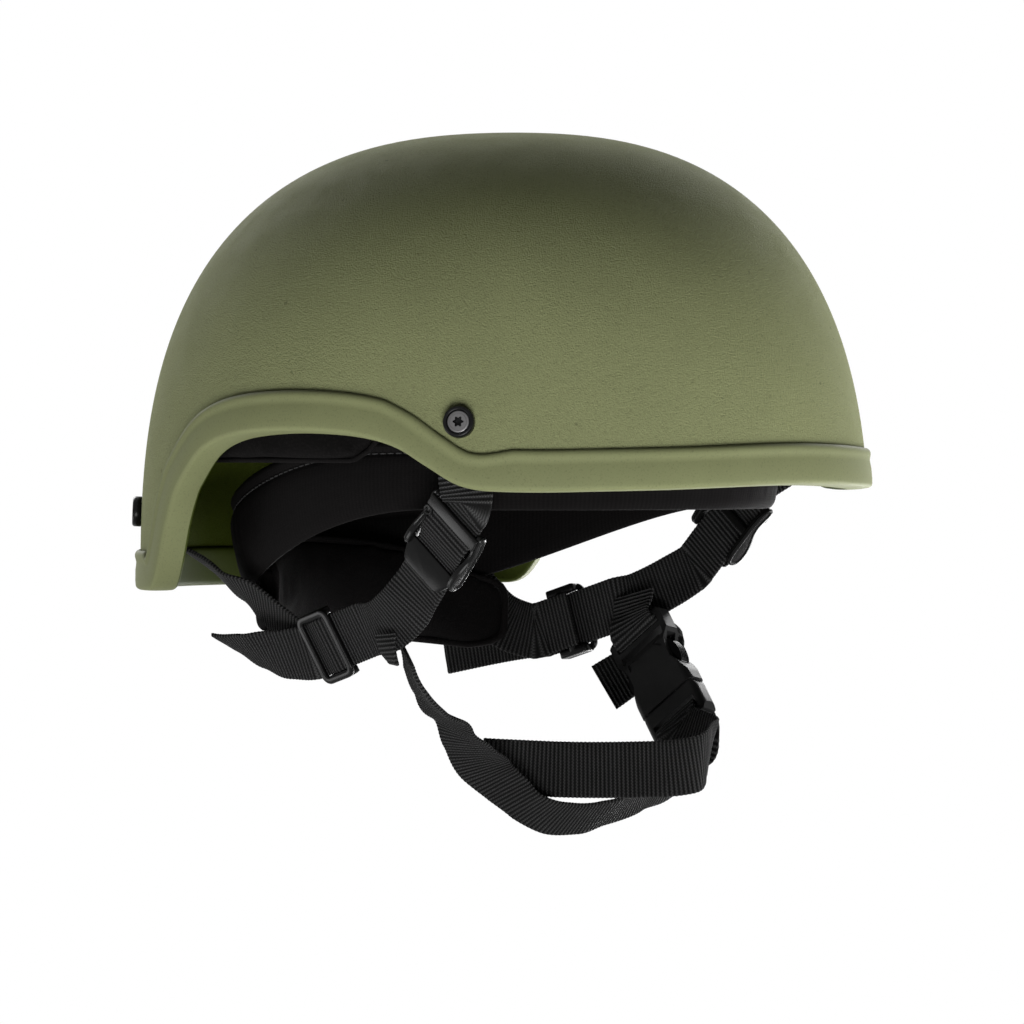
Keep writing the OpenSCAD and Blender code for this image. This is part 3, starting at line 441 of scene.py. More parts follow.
class Finish:
    """A material, or the world, that is being put together."""

    def __init__(self, name, kind="materials"):
        self.material = getattr(bpy.data, kind).new(name)
        self.material.use_nodes = True
        self.tree = self.material.node_tree
        self.tree.nodes.clear()

    def node(self, kind, settings=None, inputs=None, output=0):
        """Adds a node: its settings first, then the values or links of its sockets."""
        node = self.tree.nodes.new("ShaderNode" + kind)
        for name, value in (settings or {}).items():
            if name == "stops":
                ramp = node.color_ramp.elements
                while len(ramp) < len(value):
                    ramp.new(1.0)
                for stop, (at, shade) in zip(ramp, value):
                    stop.position = at
                    stop.color = (shade, shade, shade, 1)
            else:
                setattr(node, name, value)
        for name, value in (inputs or {}).items():
            socket = node.inputs[name]
            if isinstance(value, Value):
                self.tree.links.new(value.socket, socket)
            else:
                socket.default_value = value
        return Value(self, node.outputs[output])

    def place(self):
        """Place on the object, in metres."""
        return self.node("TexCoord", output="Object")

    def weave(self):
        """Distance along and across a woven piece, in metres."""
        spot = self.node("SeparateXYZ", {}, {0: self.node("UVMap", {"uv_map": "weave"})})
        return spot, Value(self, spot.socket.node.outputs[1])

    def noise(self, scale, detail=2.0, roughness=0.5):
        return self.node("TexNoise", {}, {"Vector": self.place(), "Scale": scale, "Detail": detail,
                                          "Roughness": roughness})

    def cells(self, scale):
        return self.node("TexVoronoi", {}, {"Vector": self.place(), "Scale": scale})

    def wave(self, turns):
        """A wave between 0 and 1, once for each turn."""
        return (turns * WHOLE_TURN).cosine() * 0.5 + 0.5

    def ramp(self, value, *stops):
        return self.node("ValToRGB", {"stops": stops}, {0: value})

    def blend(self, first, second, share):
        """Colour part of the way from the first to the second."""
        return self.node("Mix", {"data_type": "RGBA"}, {0: share, 6: first, 7: second}, output=2)

    def shade(self, colour, roughness, height, depth, strength, gloss=None, metallic=None):
        """Ends the finish in its surface shader, with a relief of this depth in metres, and gives the material."""
        relief = self.node("Bump", {}, {"Strength": strength, "Distance": depth, "Height": height})
        inputs = {"Base Color": colour, "Roughness": roughness, "Normal": relief}
        for name, value in (("Specular IOR Level", gloss), ("Metallic", metallic)):
            if value is not None:
                inputs[name] = value
        return self.end(self.node("BsdfPrincipled", {}, inputs))

    def end(self, surface, kind="ShaderNodeOutputMaterial"):
        """Leads the surface to the output and gives the material or world."""
        output = self.tree.nodes.new(kind)
        self.tree.links.new(surface.socket, output.inputs["Surface"])
        return self.material


def tinted(colour, share):
    """A colour made lighter or darker, ready for a socket."""
    return tuple(min(1.0, c * share) for c in colour[:3]) + (1.0,)


def shell_paint(settings, name="shell_paint", colour=None):
    """Matt textured paint, with fine grit, soft mottling and a few pits."""
    f = Finish(name)
    colour = colour or settings.paint
    grit = f.noise(1 / settings.grit_size, 2, 0.7)
    coarse = f.noise(0.34 / settings.grit_size, 2, 0.6)
    mottle = f.noise(26, 3, 0.55)
    grain = f.cells(0.8 / settings.grit_size)
    pits = (f.cells(170) < 0.11) * (f.noise(60, 1) > 0.62)
    base = f.blend(tinted(colour, 0.95), tinted(colour, 1.05), f.ramp(mottle, (0.3, 0), (0.7, 1)))
    base = f.blend(base, tinted(colour, 1.5), f.ramp(grit, (0.55, 0), (0.75, 0.6)))
    base = f.blend(base, tinted(colour, 0.55), f.ramp(coarse * 0.4 + grit * 0.6, (0.33, 0.6), (0.46, 0)))
    base = f.blend(base, tinted(colour, 0.5), pits * 0.6)
    height = grit * 0.9 + coarse * 0.6 - grain * 0.5 - pits * 0.9
    return f.shade(base, 0.7 + f.noise(90, 2) * 0.2, height, settings.grit_depth, 0.85, PAINT_GLOSS)


def trim_rubber(settings, name="trim_rubber", colour=None):
    """Smooth moulded rubber, a little scuffed."""
    f = Finish(name)
    colour = colour or settings.trim
    mottle = f.noise(60, 3, 0.6)
    fine = f.noise(2600, 2, 0.5)
    scuff = f.ramp(f.noise(300, 4, 0.7), (0.6, 0), (0.78, 0.5))
    base = f.blend(tinted(colour, 0.92), tinted(colour, 1.06), mottle)
    base = f.blend(base, tinted(colour, 1.3), scuff * 0.5)
    base = f.blend(base, tinted(colour, 0.55), f.ramp(f.noise(1500, 2, 0.65), (0.3, 0.5), (0.44, 0)))
    return f.shade(base, 0.6 + mottle * 0.12, fine * 0.6 + mottle * 0.4, 0.00008, 0.6, RUBBER_GLOSS)


def webbing_nylon(settings, name="webbing", tint=1.0):
    """Ribbed nylon webbing: ribs across, each of short slanting yarns, with painted highlights on the rib crests and
    painted shade between them.
    """
    f = Finish(name)
    along, across = f.weave()
    turns = along * (1 / settings.rib_pitch)
    crest = f.wave(turns)
    yarn = f.wave(across * 900 + turns.floor() * 0.5 + turns * 0.35)
    fuzz = f.noise(2400, 3, 0.6)
    broad = f.noise(45, 2)
    # Painted highlight on the rib crests and painted shade in the grooves, broken up by the yarn pattern
    light = crest**1.5 * (0.25 + yarn * 0.75)
    base = f.blend(tinted(settings.webbing, 0.15 * tint), tinted(settings.webbing, 10 * tint),
                   light * 0.85 + fuzz * 0.12)
    worn = f.ramp(fuzz * 0.6 + broad * 0.4, (0.58, 0), (0.75, 0.25))
    base = f.blend(base, tinted(settings.webbing, 12 * tint), worn)
    height = crest * 0.8 + yarn * crest * 0.5 + fuzz * 0.2
    return f.shade(base, 0.6 + fuzz * 0.25, height, 0.0003, 1.0, CLOTH_GLOSS)


def band_cloth(settings):
    """Black cloth with upright ribs, on the headband."""
    f = Finish("band_cloth")
    along, across = f.weave()
    rib_pitch, course_pitch = 0.0016, 0.0009
    rib, course = f.wave(along * (1 / rib_pitch)), f.wave(across * (1 / course_pitch))
    fuzz = f.noise(1900, 3, 0.65)
    base = f.blend(tinted(settings.cloth, 0.4), tinted(settings.cloth, 2.0), rib * 0.25 + course * 0.2 + fuzz * 0.45)
    return f.shade(base, 0.75 + fuzz * 0.2, rib * 0.25 + course * 0.2 + fuzz * 0.5, 0.00014, 0.8,
                   CLOTH_GLOSS)


def pad_cloth(settings, name="pad_cloth", pitch=0.0011, tint=1.0):
    """Brushed or knitted cover of a foam pad."""
    f = Finish(name)
    loops = f.cells(1 / pitch)
    fuzz = f.noise(1500, 3, 0.65)
    broad = f.noise(35, 2)
    share = f.ramp(loops, (0.1, 1), (0.6, 0)) * 0.6 + fuzz * 0.4
    base = f.blend(tinted(settings.pad, 0.5 * tint), tinted(settings.pad, 1.5 * tint), share)
    base = f.blend(base, tinted(settings.pad, 2.0 * tint), f.ramp(broad, (0.5, 0), (0.8, 0.3)))
    return f.shade(base, 0.82 + fuzz * 0.12, share + broad * 0.3, 0.0002, 0.8, CLOTH_GLOSS)


def moulded_plastic(settings, name="black_plastic", tint=1.0, polish=0.0):
    """Moulded plastic with a fine spark texture and rubbed high spots."""
    f = Finish(name)
    spark = f.noise(2800, 2, 0.5)
    broad = f.noise(70, 3, 0.6)
    rubbed = f.ramp(f.noise(420, 4, 0.7), (0.58, 0), (0.74, 0.6))
    base = f.blend(tinted(settings.plastic, 0.8 * tint), tinted(settings.plastic, 1.3 * tint), broad)
    base = f.blend(base, tinted(settings.plastic, 2.6 * tint), rubbed * 0.4)
    return f.shade(base, 0.36 - polish + broad * 0.12 + rubbed * 0.1, spark * 0.6 + broad * 0.4, 0.00005, 0.5,
                   PLASTIC_GLOSS)


def plain_steel(settings, name="screw_steel", colour=None):
    """Zinc-plated steel with fine turning marks and dull spots."""
    f = Finish(name)
    colour = colour or settings.steel
    fine = f.noise(1800, 3, 0.6)
    dull = f.ramp(f.noise(500, 3, 0.7), (0.45, 0), (0.7, 0.8))
    base = f.blend(tinted(colour, 0.85), tinted(colour, 1.15), fine)
    base = f.blend(base, tinted(colour, 0.55), dull * 0.5)
    return f.shade(base, 0.38 + dull * 0.25, fine, 0.00004, 0.6, metallic=0.85 - dull * 0.3)


# Settings

def colour_property(name, text, colour):
    return FloatVectorProperty(name=name, description=text, default=colour, subtype="COLOR", size=3, min=0, max=1)


def length_property(name, text, default, low, high):
    return FloatProperty(name=name, description=text, default=default, min=low, max=high, unit="LENGTH")


def power_property(name, text, default):
    return FloatProperty(name=name, description="Power of " + text, default=default, min=0, max=200)


class HelmetShellSettings(bpy.types.PropertyGroup):
    """Sizes and colours of the shell and its trim."""

    paint: colour_property("Paint", "Colour of the shell's paint", from_screen(110, 114, 81))
    # Painted shade: the inside colour is a darker, greener copy of the paint for the inside faces of the shell and the
    # trim
    inside: colour_property("Inside", "Colour of the shell's paint on the inside", from_screen(48, 57, 8))
    trim: colour_property("Trim", "Colour of the rubber edge trim", from_screen(103, 107, 75))
    grit_size: length_property("Grit size", "Size of the grains in the paint", 0.0005, 0.0002, 0.002)
    grit_depth: length_property("Grit depth", "Height of the grains in the paint", 0.0003, 0, 0.001)


class HelmetPaddingSettings(bpy.types.PropertyGroup):
    """Fill and colours of the pads, the headband and the nape pad."""

    pad: colour_property("Pad cloth", "Colour of the pads' cover", from_screen(10, 9, 9))
    cloth: colour_property("Band cloth", "Colour of the headband's cloth", from_screen(10, 9, 9))
    pressure: FloatProperty(name="Pressure", description="Push of the foam against its cover", default=4,
                            min=0, max=20)
    swell: length_property("Swell", "Most that a cover may swell", 0.0022, 0, 0.02)


class HelmetWebbingSettings(bpy.types.PropertyGroup):
    """Weave and colour of the webbing."""

    webbing: colour_property("Webbing", "Colour of the webbing", from_screen(18, 18, 18))
    rib_pitch: length_property("Rib pitch", "Distance between the webbing's ribs", 0.0015, 0.0008, 0.004)
    rib_height: length_property("Rib height", "Half of the height of a rib", 0.0001, 0, 0.0003)


class HelmetHardwareSettings(bpy.types.PropertyGroup):
    """Edges and colours of the plastic and metal fittings."""

    plastic: colour_property("Plastic", "Colour of the moulded plastic", from_screen(13, 13, 13))
    steel: colour_property("Steel", "Colour of the screws", from_screen(92, 91, 91))
    edge: length_property("Edge", "Radius on the edges of the fittings", 0.0004, 0, 0.001)


class HelmetStageSettings(bpy.types.PropertyGroup):
    """Height of the floor and power of the lamps."""

    floor_height: FloatProperty(name="Floor", description="Height of the floor", default=-0.25, unit="LENGTH")
    front_lamp: power_property("Front lamp", "the low lamp in front", 44)
    right_lamp: power_property("Right lamps", "the two low lamps on the right", 38)
    left_lamp: power_property("Left lamp", "the low lamp on the left", 16)
    rim_lamp: power_property("Rim lamps", "the two high lamps behind", 20)


# Shell and trim

def both_halves(angles):
    """Angles from the nape over the left to the brow, then back over the right."""
    return np.concatenate([angles, 180 - angles[-2:0:-1]])


CROWN_LEAN = 88.0  # degrees by which the last row round the crown's pole leans back


def shell_layer(angles, shares, out):
    """Rows of points up the shell, from just above the rim to the crown."""
    left = folded(angles)
    foot = above_rim(left, TRIM_WEB + FIT_GAP, 0.0)
    rows = []
    for share in shares:
        drift = mix(angle_of(foot), left, ease(2 * share))
        z = height_at(mix(lean_at(foot[:, 2]), CROWN_LEAN, share**1.2))
        row = dome(drift, z, np.full(len(left), out))
        row[:, 0] *= np.where(angles > 90, -1, 1)
        rows.append(row)
    return np.array(rows)


class HELMET_OT_shell(bpy.types.Operator):
    """Moulds the smooth composite shell over the frame's faceted one"""

    bl_idname = "helmet.shell"
    bl_label = "Shell"

    def execute(self, context):
        angles = both_halves(np.linspace(-90, 90, 121))
        shares = np.linspace(0, 1, 57)
        inner = shell_layer(angles, shares[::-1], -WALL)
        outer = shell_layer(angles, shares, 0.0)
        poles = np.array([[0, 0, CROWN_HEIGHT - WALL], [0, 0, CROWN_HEIGHT]])
        mesh = skin_mesh("shell_skin", np.vstack([inner, outer]), wrap_cols=True, poles=poles)
        settings = context.scene.helmet_shell
        new_object("shell_skin", mesh, shell_paint(settings), smooth_angle=60, node="shell")
        # The shell's inside faces get the darker inside colour: painted shade
        mesh.materials.append(shell_paint(settings, "shell_inside_shade", settings.inside))
        for face in mesh.polygons:
            face.material_index = int(max(face.vertices) < inner.shape[0] * inner.shape[1])
        return {"FINISHED"}


def trim_outline(top):
    """Section of the trim: how far up the wall and out from it, round its whole outline."""
    face, inner = FIT_GAP + TRIM_LEG, -WALL - FIT_GAP
    back = inner - TRIM_LEG
    turn = np.radians(np.linspace(0, 90, 6))
    round_foot = 1.7
    return np.vstack([
        [(TRIM_WEB, inner), (top - 3, inner), (top - 0.2, inner - 0.1), (top, inner - 0.35),
         (top - 0.15, inner - 0.65), (top - 0.8, back + 0.2), (top - 1.6, back + 0.02), (top - 3.5, back),
         (round_foot + 2, back)],
        np.stack([round_foot * (1 - np.sin(turn)), back + round_foot * (1 - np.cos(turn))], -1),
        [(-0.12, back + 3.2), (-0.15, (back + face) / 2), (-0.12, face - 3.2)],
        np.stack([round_foot * (1 - np.cos(turn)), face - round_foot * (1 - np.sin(turn))], -1),
        [(round_foot + 1.5, face + 0.12), (top - 7, face + 0.08), (top - 5.2, face - 0.15), (top - 4.2, face - 0.2),
         (top - 3.2, face + 0.05), (top - 2.3, face + 0.3), (top - 1.5, face + 0.3), (top - 0.8, face),
         (top - 0.3, face - 0.45), (top - 0.05, face - 0.95), (top, mix(face, FIT_GAP, 0.85)),
         (top - 0.1, FIT_GAP), (top - 3, FIT_GAP), (TRIM_WEB, FIT_GAP)]])


class HELMET_OT_trim(bpy.types.Operator):
    """Runs the rounded rubber channel round the shell's rim"""

    bl_idname = "helmet.trim"
    bl_label = "Edge trim"

    def execute(self, context):
        angles = both_halves(np.concatenate([
            np.linspace(-90, -45, 19)[:-1], np.linspace(-45, 40, 111)[:-1], np.linspace(40, 90, 26)]))
        # The trim is lower below the temple bolts
        dip = 0.17 * np.maximum(0, 1 - ((folded(angles) - TEMPLE_ANGLE + 3) / 11) ** 2)
        sections = np.array([trim_outline(top) for top in TRIM_HEIGHT * (1 - dip)])
        grid = above_rim(np.repeat(angles[:, None], sections.shape[1], 1), sections[..., 0], sections[..., 1])
        mesh = skin_mesh("trim_skin", grid, wrap_rows=True, wrap_cols=True)
        settings = context.scene.helmet_shell
        new_object("trim_skin", mesh, trim_rubber(settings), node="edge_trim")
        # The trim's inward faces get the same darker inside colour: painted shade on the one rubber
        mesh.materials.append(trim_rubber(settings, "trim_inside_shade", settings.inside))
        inwards = sections[0, :, 1] < -WALL
        for face in mesh.polygons:
            face.material_index = int(all(inwards[i % len(inwards)] for i in face.vertices))
        return {"FINISHED"}


# Screws

SCREW_PROFILE = [(2.4, 0.95), (3.7, 0.95), (3.8, 1.05), (3.8, 2.5), (3.72, 2.66), (3.55, 2.75), (3.1, 2.78),
                 (3.02, 2.7), (2.9, 2.7), (2.82, 2.78), (2.2, 2.8), (1.6, 2.78)]
SCREW_LOBES = [0] * 11 + [0.2]
RECESS_PROFILE = [(1.6, 2.78), (1.56, 2.68), (1.5, 1.3), (0.4, 1.1)]
RECESS_LOBES = [0.2, 0.2, 0.2, 0]
COLLAR_PROFILE = [(2.7, 0.05), (5.25, 0.05), (5.4, 0.2), (5.4, 2.2), (5.36, 2.5), (5.22, 2.8), (4.98, 3.04),
                  (4.72, 3.16), (4.4, 3.18), (4.15, 3.05), (4.0, 2.8), (3.95, 0.9), (2.7, 0.9)]


class HELMET_OT_screws(bpy.types.Operator):
    """Turns the screws with their six-lobe recess and the cup washers under them"""

    bl_idname = "helmet.screws"
    bl_label = "Screws and collars"

    def execute(self, context):
        settings = context.scene.helmet_hardware
        steel = plain_steel(settings)
        dark = moulded_plastic(settings, "recess_shade", 0.5)
        black = moulded_plastic(settings, "collar_black", 0.8, 0.14)
        rings = []
        for which in ("temple", "rear"):
            heads, wells = [], []
            for side in (RIGHT, LEFT):
                for part, open_ends, parts in ((lathe(SCREW_PROFILE, SCREW_LOBES), 2, heads),
                                               (lathe(RECESS_PROFILE, RECESS_LOBES), 1, wells),
                                               (lathe(COLLAR_PROFILE), 0, rings)):
                    # A lathe's last two faces close its first and its last ring
                    points, faces = part
                    first_end = len(faces) - 2
                    faces = faces[:first_end] + faces[first_end + open_ends:]
                    parts.append(set_on((points, faces), which, side))
            name = which + "_screw_"
            new_object(name + "heads", heads, steel, smooth_angle=40, node=which + "_screws")
            new_object(name + "recesses", wells, dark, smooth_angle=40)
        new_object("collar_rings", rings, black, smooth_angle=45, node="screw_collars")
        return {"FINISHED"}


# Padding

PAD_VOXEL, NAPE_VOXEL = 0.004, 0.003
PAD_BACK = PAD_SKIN - 0.6
PIPING, NAPE_PIPING = 0.9, 1.25


def corner(t):
    """Share of a patch's length that is left near its ends, for rounded corners."""
    return (1 - np.abs(2 * t - 1) ** 5) ** 0.2


def shares_of(count, inset=0.035):
    """Shares of a length, a little inside its ends."""
    return np.linspace(inset, 1 - inset, count)


def patch_grid(patch, shares, places, skin, depth):
    """Points of a patch on the inside of the dome. depth gives the thickness at each share and place."""
    first, last, low, high = patch
    v, s = np.meshgrid(shares, places, indexing="ij")
    half = (last - first) / 2 * corner(v)
    z = height_at(mix(lean_at(low), lean_at(high), v))
    return dome((first + last) / 2 + half * (2 * s - 1), z, skin - depth(s, v))


def border_of(grid):
    """The points, or their numbers, round the edge of a grid."""
    return np.concatenate([grid[0], grid[1:-1, -1], grid[-1, ::-1], grid[-2:0:-1, 0]])


def slab_faces(rows, cols):
    """Faces between two grids of points that lie face to face."""
    half = rows * cols
    number = np.arange(half).reshape(rows, cols)
    front = np.stack([number[:-1, :-1], number[1:, :-1], number[1:, 1:], number[:-1, 1:]], -1).reshape(-1, 4)
    rim = border_of(number)
    after = np.roll(rim, -1)
    faces = np.stack([front, front[:, [0, 3, 2, 1]] + half], 1).reshape(-1, 4)
    return np.vstack([faces, np.stack([rim, after, half + after, half + rim], -1)]).tolist()


def places_of(mesh):
    """Places of a mesh's points, in metres."""
    places = np.empty(len(mesh.vertices) * 3)
    mesh.vertices.foreach_get("co", places)
    return places.reshape(-1, 3)


def swollen(name, points, faces, settings, voxel):
    """Mesh of a foam pad whose cover has swelled over its filling, with soft edges."""
    frames = 20
    mesh = joined_mesh(name + "_cut", [(points, faces)])
    cut = bpy.data.objects.new(name + "_cut", mesh)
    bpy.context.scene.collection.objects.link(cut)
    remesh = cut.modifiers.new("Even faces", "REMESH")
    remesh.mode = "VOXEL"
    remesh.voxel_size = voxel
    soften = cut.modifiers.new("Soft edges", "SMOOTH")
    soften.factor = 0.5
    soften.iterations = 2
    depsgraph = bpy.context.evaluated_depsgraph_get()
    even = bpy.data.meshes.new_from_object(cut.evaluated_get(depsgraph))
    cut.modifiers.clear()
    cut.data = even
    start = places_of(even)
    cloth = cut.modifiers.new("Cover", "CLOTH")
    cloth.settings.quality = 4
    cloth.settings.mass = 0.3
    cloth.settings.use_pressure = True
    cloth.settings.uniform_pressure_force = settings.pressure
    cloth.settings.effector_weights.gravity = 0
    cloth.point_cache.frame_start, cloth.point_cache.frame_end = 1, frames
    for step in range(1, frames + 1):
        bpy.context.scene.frame_set(step)
    move = places_of(cut.evaluated_get(bpy.context.evaluated_depsgraph_get()).to_mesh()) - start
    far = np.linalg.norm(move, axis=1, keepdims=True)
    move *= np.minimum(1, settings.swell / np.maximum(far, 1e-9))
    cut.modifiers.clear()
    even.vertices.foreach_set("co", (start + move).ravel())
    even.update()
    bpy.context.scene.frame_set(1)
    final = even.copy()
    final.name = name
    bpy.data.objects.remove(cut)
    return final


def pad_piece(node, points, faces, finish, settings, voxel=PAD_VOXEL):
    """A padded piece with one step of subdivision, standing for its CAD node."""
    name = node + "_cover"
    piece = new_object(name, swollen(name, points, faces, settings, voxel), finish, node=node)
    rounder = piece.modifiers.new("Rounder", "SUBSURF")
    rounder.levels = rounder.render_levels = 1


def seam(node, route, finish, radius=PIPING):
    """The piped seam of a pad: a cord of cloth along a closed route."""
    cord = tube(even_steps(route, 2.0, closed=True), radius, 8, closed=True)
    new_object(node + "_piping", [cord], finish)


SIDE_PATCH = (-38, 16, PAD_BOTTOM, PAD_TOP)
PATCHES = {"front_pad": (48, 132, PAD_BOTTOM, PAD_TOP), "rear_pad": (-118, -62, PAD_BOTTOM, PAD_TOP),
           "right_side_pad": SIDE_PATCH, "left_side_pad": SIDE_PATCH}


class HELMET_OT_pads(bpy.types.Operator):
    """Fills the four pads on the wall and the round one under the crown"""

    bl_idname = "helmet.pads"
    bl_label = "Pads"

    def execute(self, context):
        settings = context.scene.helmet_padding
        cloth = pad_cloth(settings)
        piping = pad_cloth(settings, "pad_piping", 0.0008, 1.3)
        shares, places = shares_of(21), shares_of(33)
        for name, patch in PATCHES.items():
            def crowned(s, v):
                swell = np.sqrt(np.sin(math.pi * s) * np.sin(math.pi * v))
                return PAD_THICK * (0.45 + 0.5 * swell)
            inner = patch_grid(patch, shares, places, PAD_SKIN, crowned)
            outer = patch_grid(patch, shares, places, PAD_BACK, lambda s, v: 0 * s)
            side = RIGHT if name == "right_side_pad" else LEFT
            flip = np.array([side, 1, 1])
            points = np.vstack([inner.reshape(-1, 3), outer.reshape(-1, 3)]) * flip
            faces = facing(slab_faces(len(shares), len(places)), side)
            pad_piece(name, points, faces, cloth, settings)
            middle = patch_grid(patch, shares, places, PAD_SKIN, lambda s, v: 0 * s + PAD_THICK * 0.24) * flip
            seam(name, border_of(middle), piping)
        self.crown(settings, cloth, piping)
        return {"FINISHED"}

    def crown(self, settings, cloth, piping):
        """The round pad under the crown."""
        turn = np.linspace(0, 360, 72, endpoint=False) - 90
        leans = np.array([68.2, 69, 70.5, 72.5, 75, 78, 81, 84, 87])
        fill = np.interp(leans, [68, 70, 73, 78, 84], [0.48, 0.75, 0.9, 0.97, 0.97])
        lower = np.array([dome(turn, height_at(a) + 0 * turn, PAD_SKIN - PAD_THICK * s + 0 * turn)
                          for a, s in zip(leans[::-1], fill[::-1])])
        upper = np.array([dome(turn, height_at(a) + 0 * turn, PAD_BACK + 0 * turn) for a in leans])
        grid = np.vstack([lower, upper])
        poles = np.array([[0, 0, CROWN_HEIGHT + PAD_SKIN - PAD_THICK * fill[-1]], [0, 0, CROWN_HEIGHT + PAD_BACK]])
        mesh = skin_mesh("crown_cut", grid, wrap_cols=True, poles=poles)
        points = np.array([v.co for v in mesh.vertices]) / MM
        faces = [list(p.vertices) for p in mesh.polygons]
        pad_piece("crown_pad", points, faces, cloth, settings)
        border = dome(turn, height_at(leans[0]) + 0 * turn, PAD_SKIN - PAD_THICK * 0.26 + 0 * turn)
        seam("crown_pad", border, piping)


class HELMET_OT_tapes(bpy.types.Operator):
    """Lays the hook tape behind each pad, with its hooks as a rough face"""

    bl_idname = "helmet.tapes"
    bl_label = "Hook tape"

    def execute(self, context):
        finish = pad_cloth(context.scene.helmet_padding, "hook_tape", 0.0013, 0.8)
        dress(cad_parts["hook_patches"], finish, 0.0002)
        return {"FINISHED"}


BAND_HALF_WIDTH, BAND_HALF_LENGTH, BAND_SHIFT = 89, 104.5, 4.5
BAND_LOW, BAND_LOW_FALL, BAND_TOP, BAND_TOP_FALL = -7, 31, 17, 22
# Thickness of the band: share of its height, then share of its greatest thickness
BAND_SHARES = np.array([(0, 0.0), (0.012, 0.3), (0.05, 0.55), (0.12, 0.72), (0.3, 0.93), (0.5, 1), (0.68, 0.92),
                        (0.77, 0.72), (0.81, 0.5), (0.83, 0.48), (0.86, 0.62), (0.91, 0.76), (0.95, 0.68),
                        (0.985, 0.4), (1, 0.0)])


def band_point(angle, v, face):
    """Point of the headband's section. face is how far it stands out of the band's middle, in millimetres."""
    up = folded(angle)
    rear = ease((20 - up) / 80)
    inset = 4.0 - face + 5 * rear * np.maximum(1 - v, 0) ** 1.5
    low = BAND_LOW - BAND_LOW_FALL * rear
    top = BAND_TOP - BAND_TOP_FALL * ease((8 - up) / 75)
    turn = np.radians(angle)
    return np.stack([(BAND_HALF_WIDTH - inset) * np.cos(turn),
                     BAND_SHIFT - (BAND_HALF_LENGTH - inset) * np.sin(turn), mix(low, top, v)], -1)


class HELMET_OT_headband(bpy.types.Operator):
    """Sews the padded headband with its rolled upper edge"""

    bl_idname = "helmet.headband"
    bl_label = "Headband"

    def execute(self, context):
        settings = context.scene.helmet_padding
        up = np.concatenate([[0, 0.004, 0.012], np.linspace(0.03, 0.7, 14), np.linspace(0.73, 0.97, 17),
                             [0.985, 0.996, 1]])
        fat = np.interp(up, BAND_SHARES[:, 0], BAND_SHARES[:, 1]) * 4
        fat[1:-1] = np.maximum(fat[1:-1], 0.5)
        section = np.concatenate([up, up[-2:0:-1]])
        side = np.concatenate([fat, -fat[-2:0:-1]])
        angles = np.linspace(-90, 270, 400, endpoint=False)
        angle, v = np.meshgrid(angles, section, indexing="ij")
        face = np.broadcast_to(side, angle.shape)
        soft = np.sin(math.pi * np.clip(v, 0, 1)) * np.where(face > 0, 1, 0.6)
        wobble = ripple(angle * 1.7, v * 24, 17, 3) * 0.28 + ripple(angle * 1.7, v * 8, 6, 5) * 0.12
        grid = band_point(angle, v, face - np.sign(face) * 0.25 + wobble * soft)
        mesh = skin_mesh("headband_cover", grid, wrap_rows=True, wrap_cols=True, u=run_along(grid[:, 10]),
                         v=run_along(grid[0]))
        new_object("headband_cover", mesh, band_cloth(settings), node="headband")
        thread = webbing_nylon(context.scene.helmet_webbing, "band_thread", 0.5)
        seam_at = np.linspace(-90, 270, 360, endpoint=False)
        route = band_point(seam_at, 0.82 + 0 * seam_at, 1.95 + 0 * seam_at)
        new_object("headband_stitches", stitches(route, lambda p: unit(p * np.array([1, 0.8, 0]))), thread)
        return {"FINISHED"}


NAPE_TOP, NAPE_HEIGHT, NAPE_FALL, NAPE_TILT = 18.0, 36.0, 12.0, 3.5
NAPE_HALF_WIDTH, NAPE_DEPTH, NAPE_BACK, NAPE_REACH = 66.5, 44, 85, 74


def nape_point(s, v, out):
    """Point of the nape pad at a share of its length and height, `out` from the middle of its thickness."""
    t = 2 * s - 1
    angle = np.radians(NAPE_REACH * t * corner(v))
    top = -NAPE_TOP - NAPE_FALL * np.abs(t) ** 2.5
    low = -NAPE_TOP - NAPE_HEIGHT - 2 * t**2
    p = np.stack([(NAPE_HALF_WIDTH + out) * np.sin(angle),
                  NAPE_BACK - NAPE_DEPTH + (NAPE_DEPTH + out) * np.cos(angle), mix(low, top, v)], -1)
    middle = -NAPE_TOP - NAPE_HEIGHT / 2
    tilt = math.radians(NAPE_TILT)
    p = p - [0, 0, middle]
    x, z = p[..., 0].copy(), p[..., 2].copy()
    p[..., 0] = x * math.cos(tilt) + z * math.sin(tilt)
    p[..., 2] = -x * math.sin(tilt) + z * math.cos(tilt)
    return p + [0, 0, middle]


class HELMET_OT_nape_pad(bpy.types.Operator):
    """Fills the nape pad and pipes its edge"""

    bl_idname = "helmet.nape_pad"
    bl_label = "Nape pad"

    def execute(self, context):
        settings = context.scene.helmet_padding
        shares, places = shares_of(23), shares_of(61, 0.025)
        v, s = np.meshgrid(shares, places, indexing="ij")
        edge = np.minimum(np.sqrt(np.sin(math.pi * s)), np.sqrt(np.sin(math.pi * v)))
        half = 5.5 * (0.3 + 0.62 * edge)
        points = np.vstack([nape_point(s, v, half).reshape(-1, 3), nape_point(s, v, -half).reshape(-1, 3)])
        cloth = pad_cloth(settings, "nape_cloth", 0.0006, 1.25)
        faces = [f[::-1] for f in slab_faces(len(shares), len(places))]
        pad_piece("nape_pad", points, faces, cloth, settings, NAPE_VOXEL)
        piping = pad_cloth(settings, "nape_piping", 0.0008, 1.6)
        seam("nape_pad", border_of(nape_point(s, v, 0 * s)), piping, NAPE_PIPING)
        return {"FINISHED"}


# Webbing

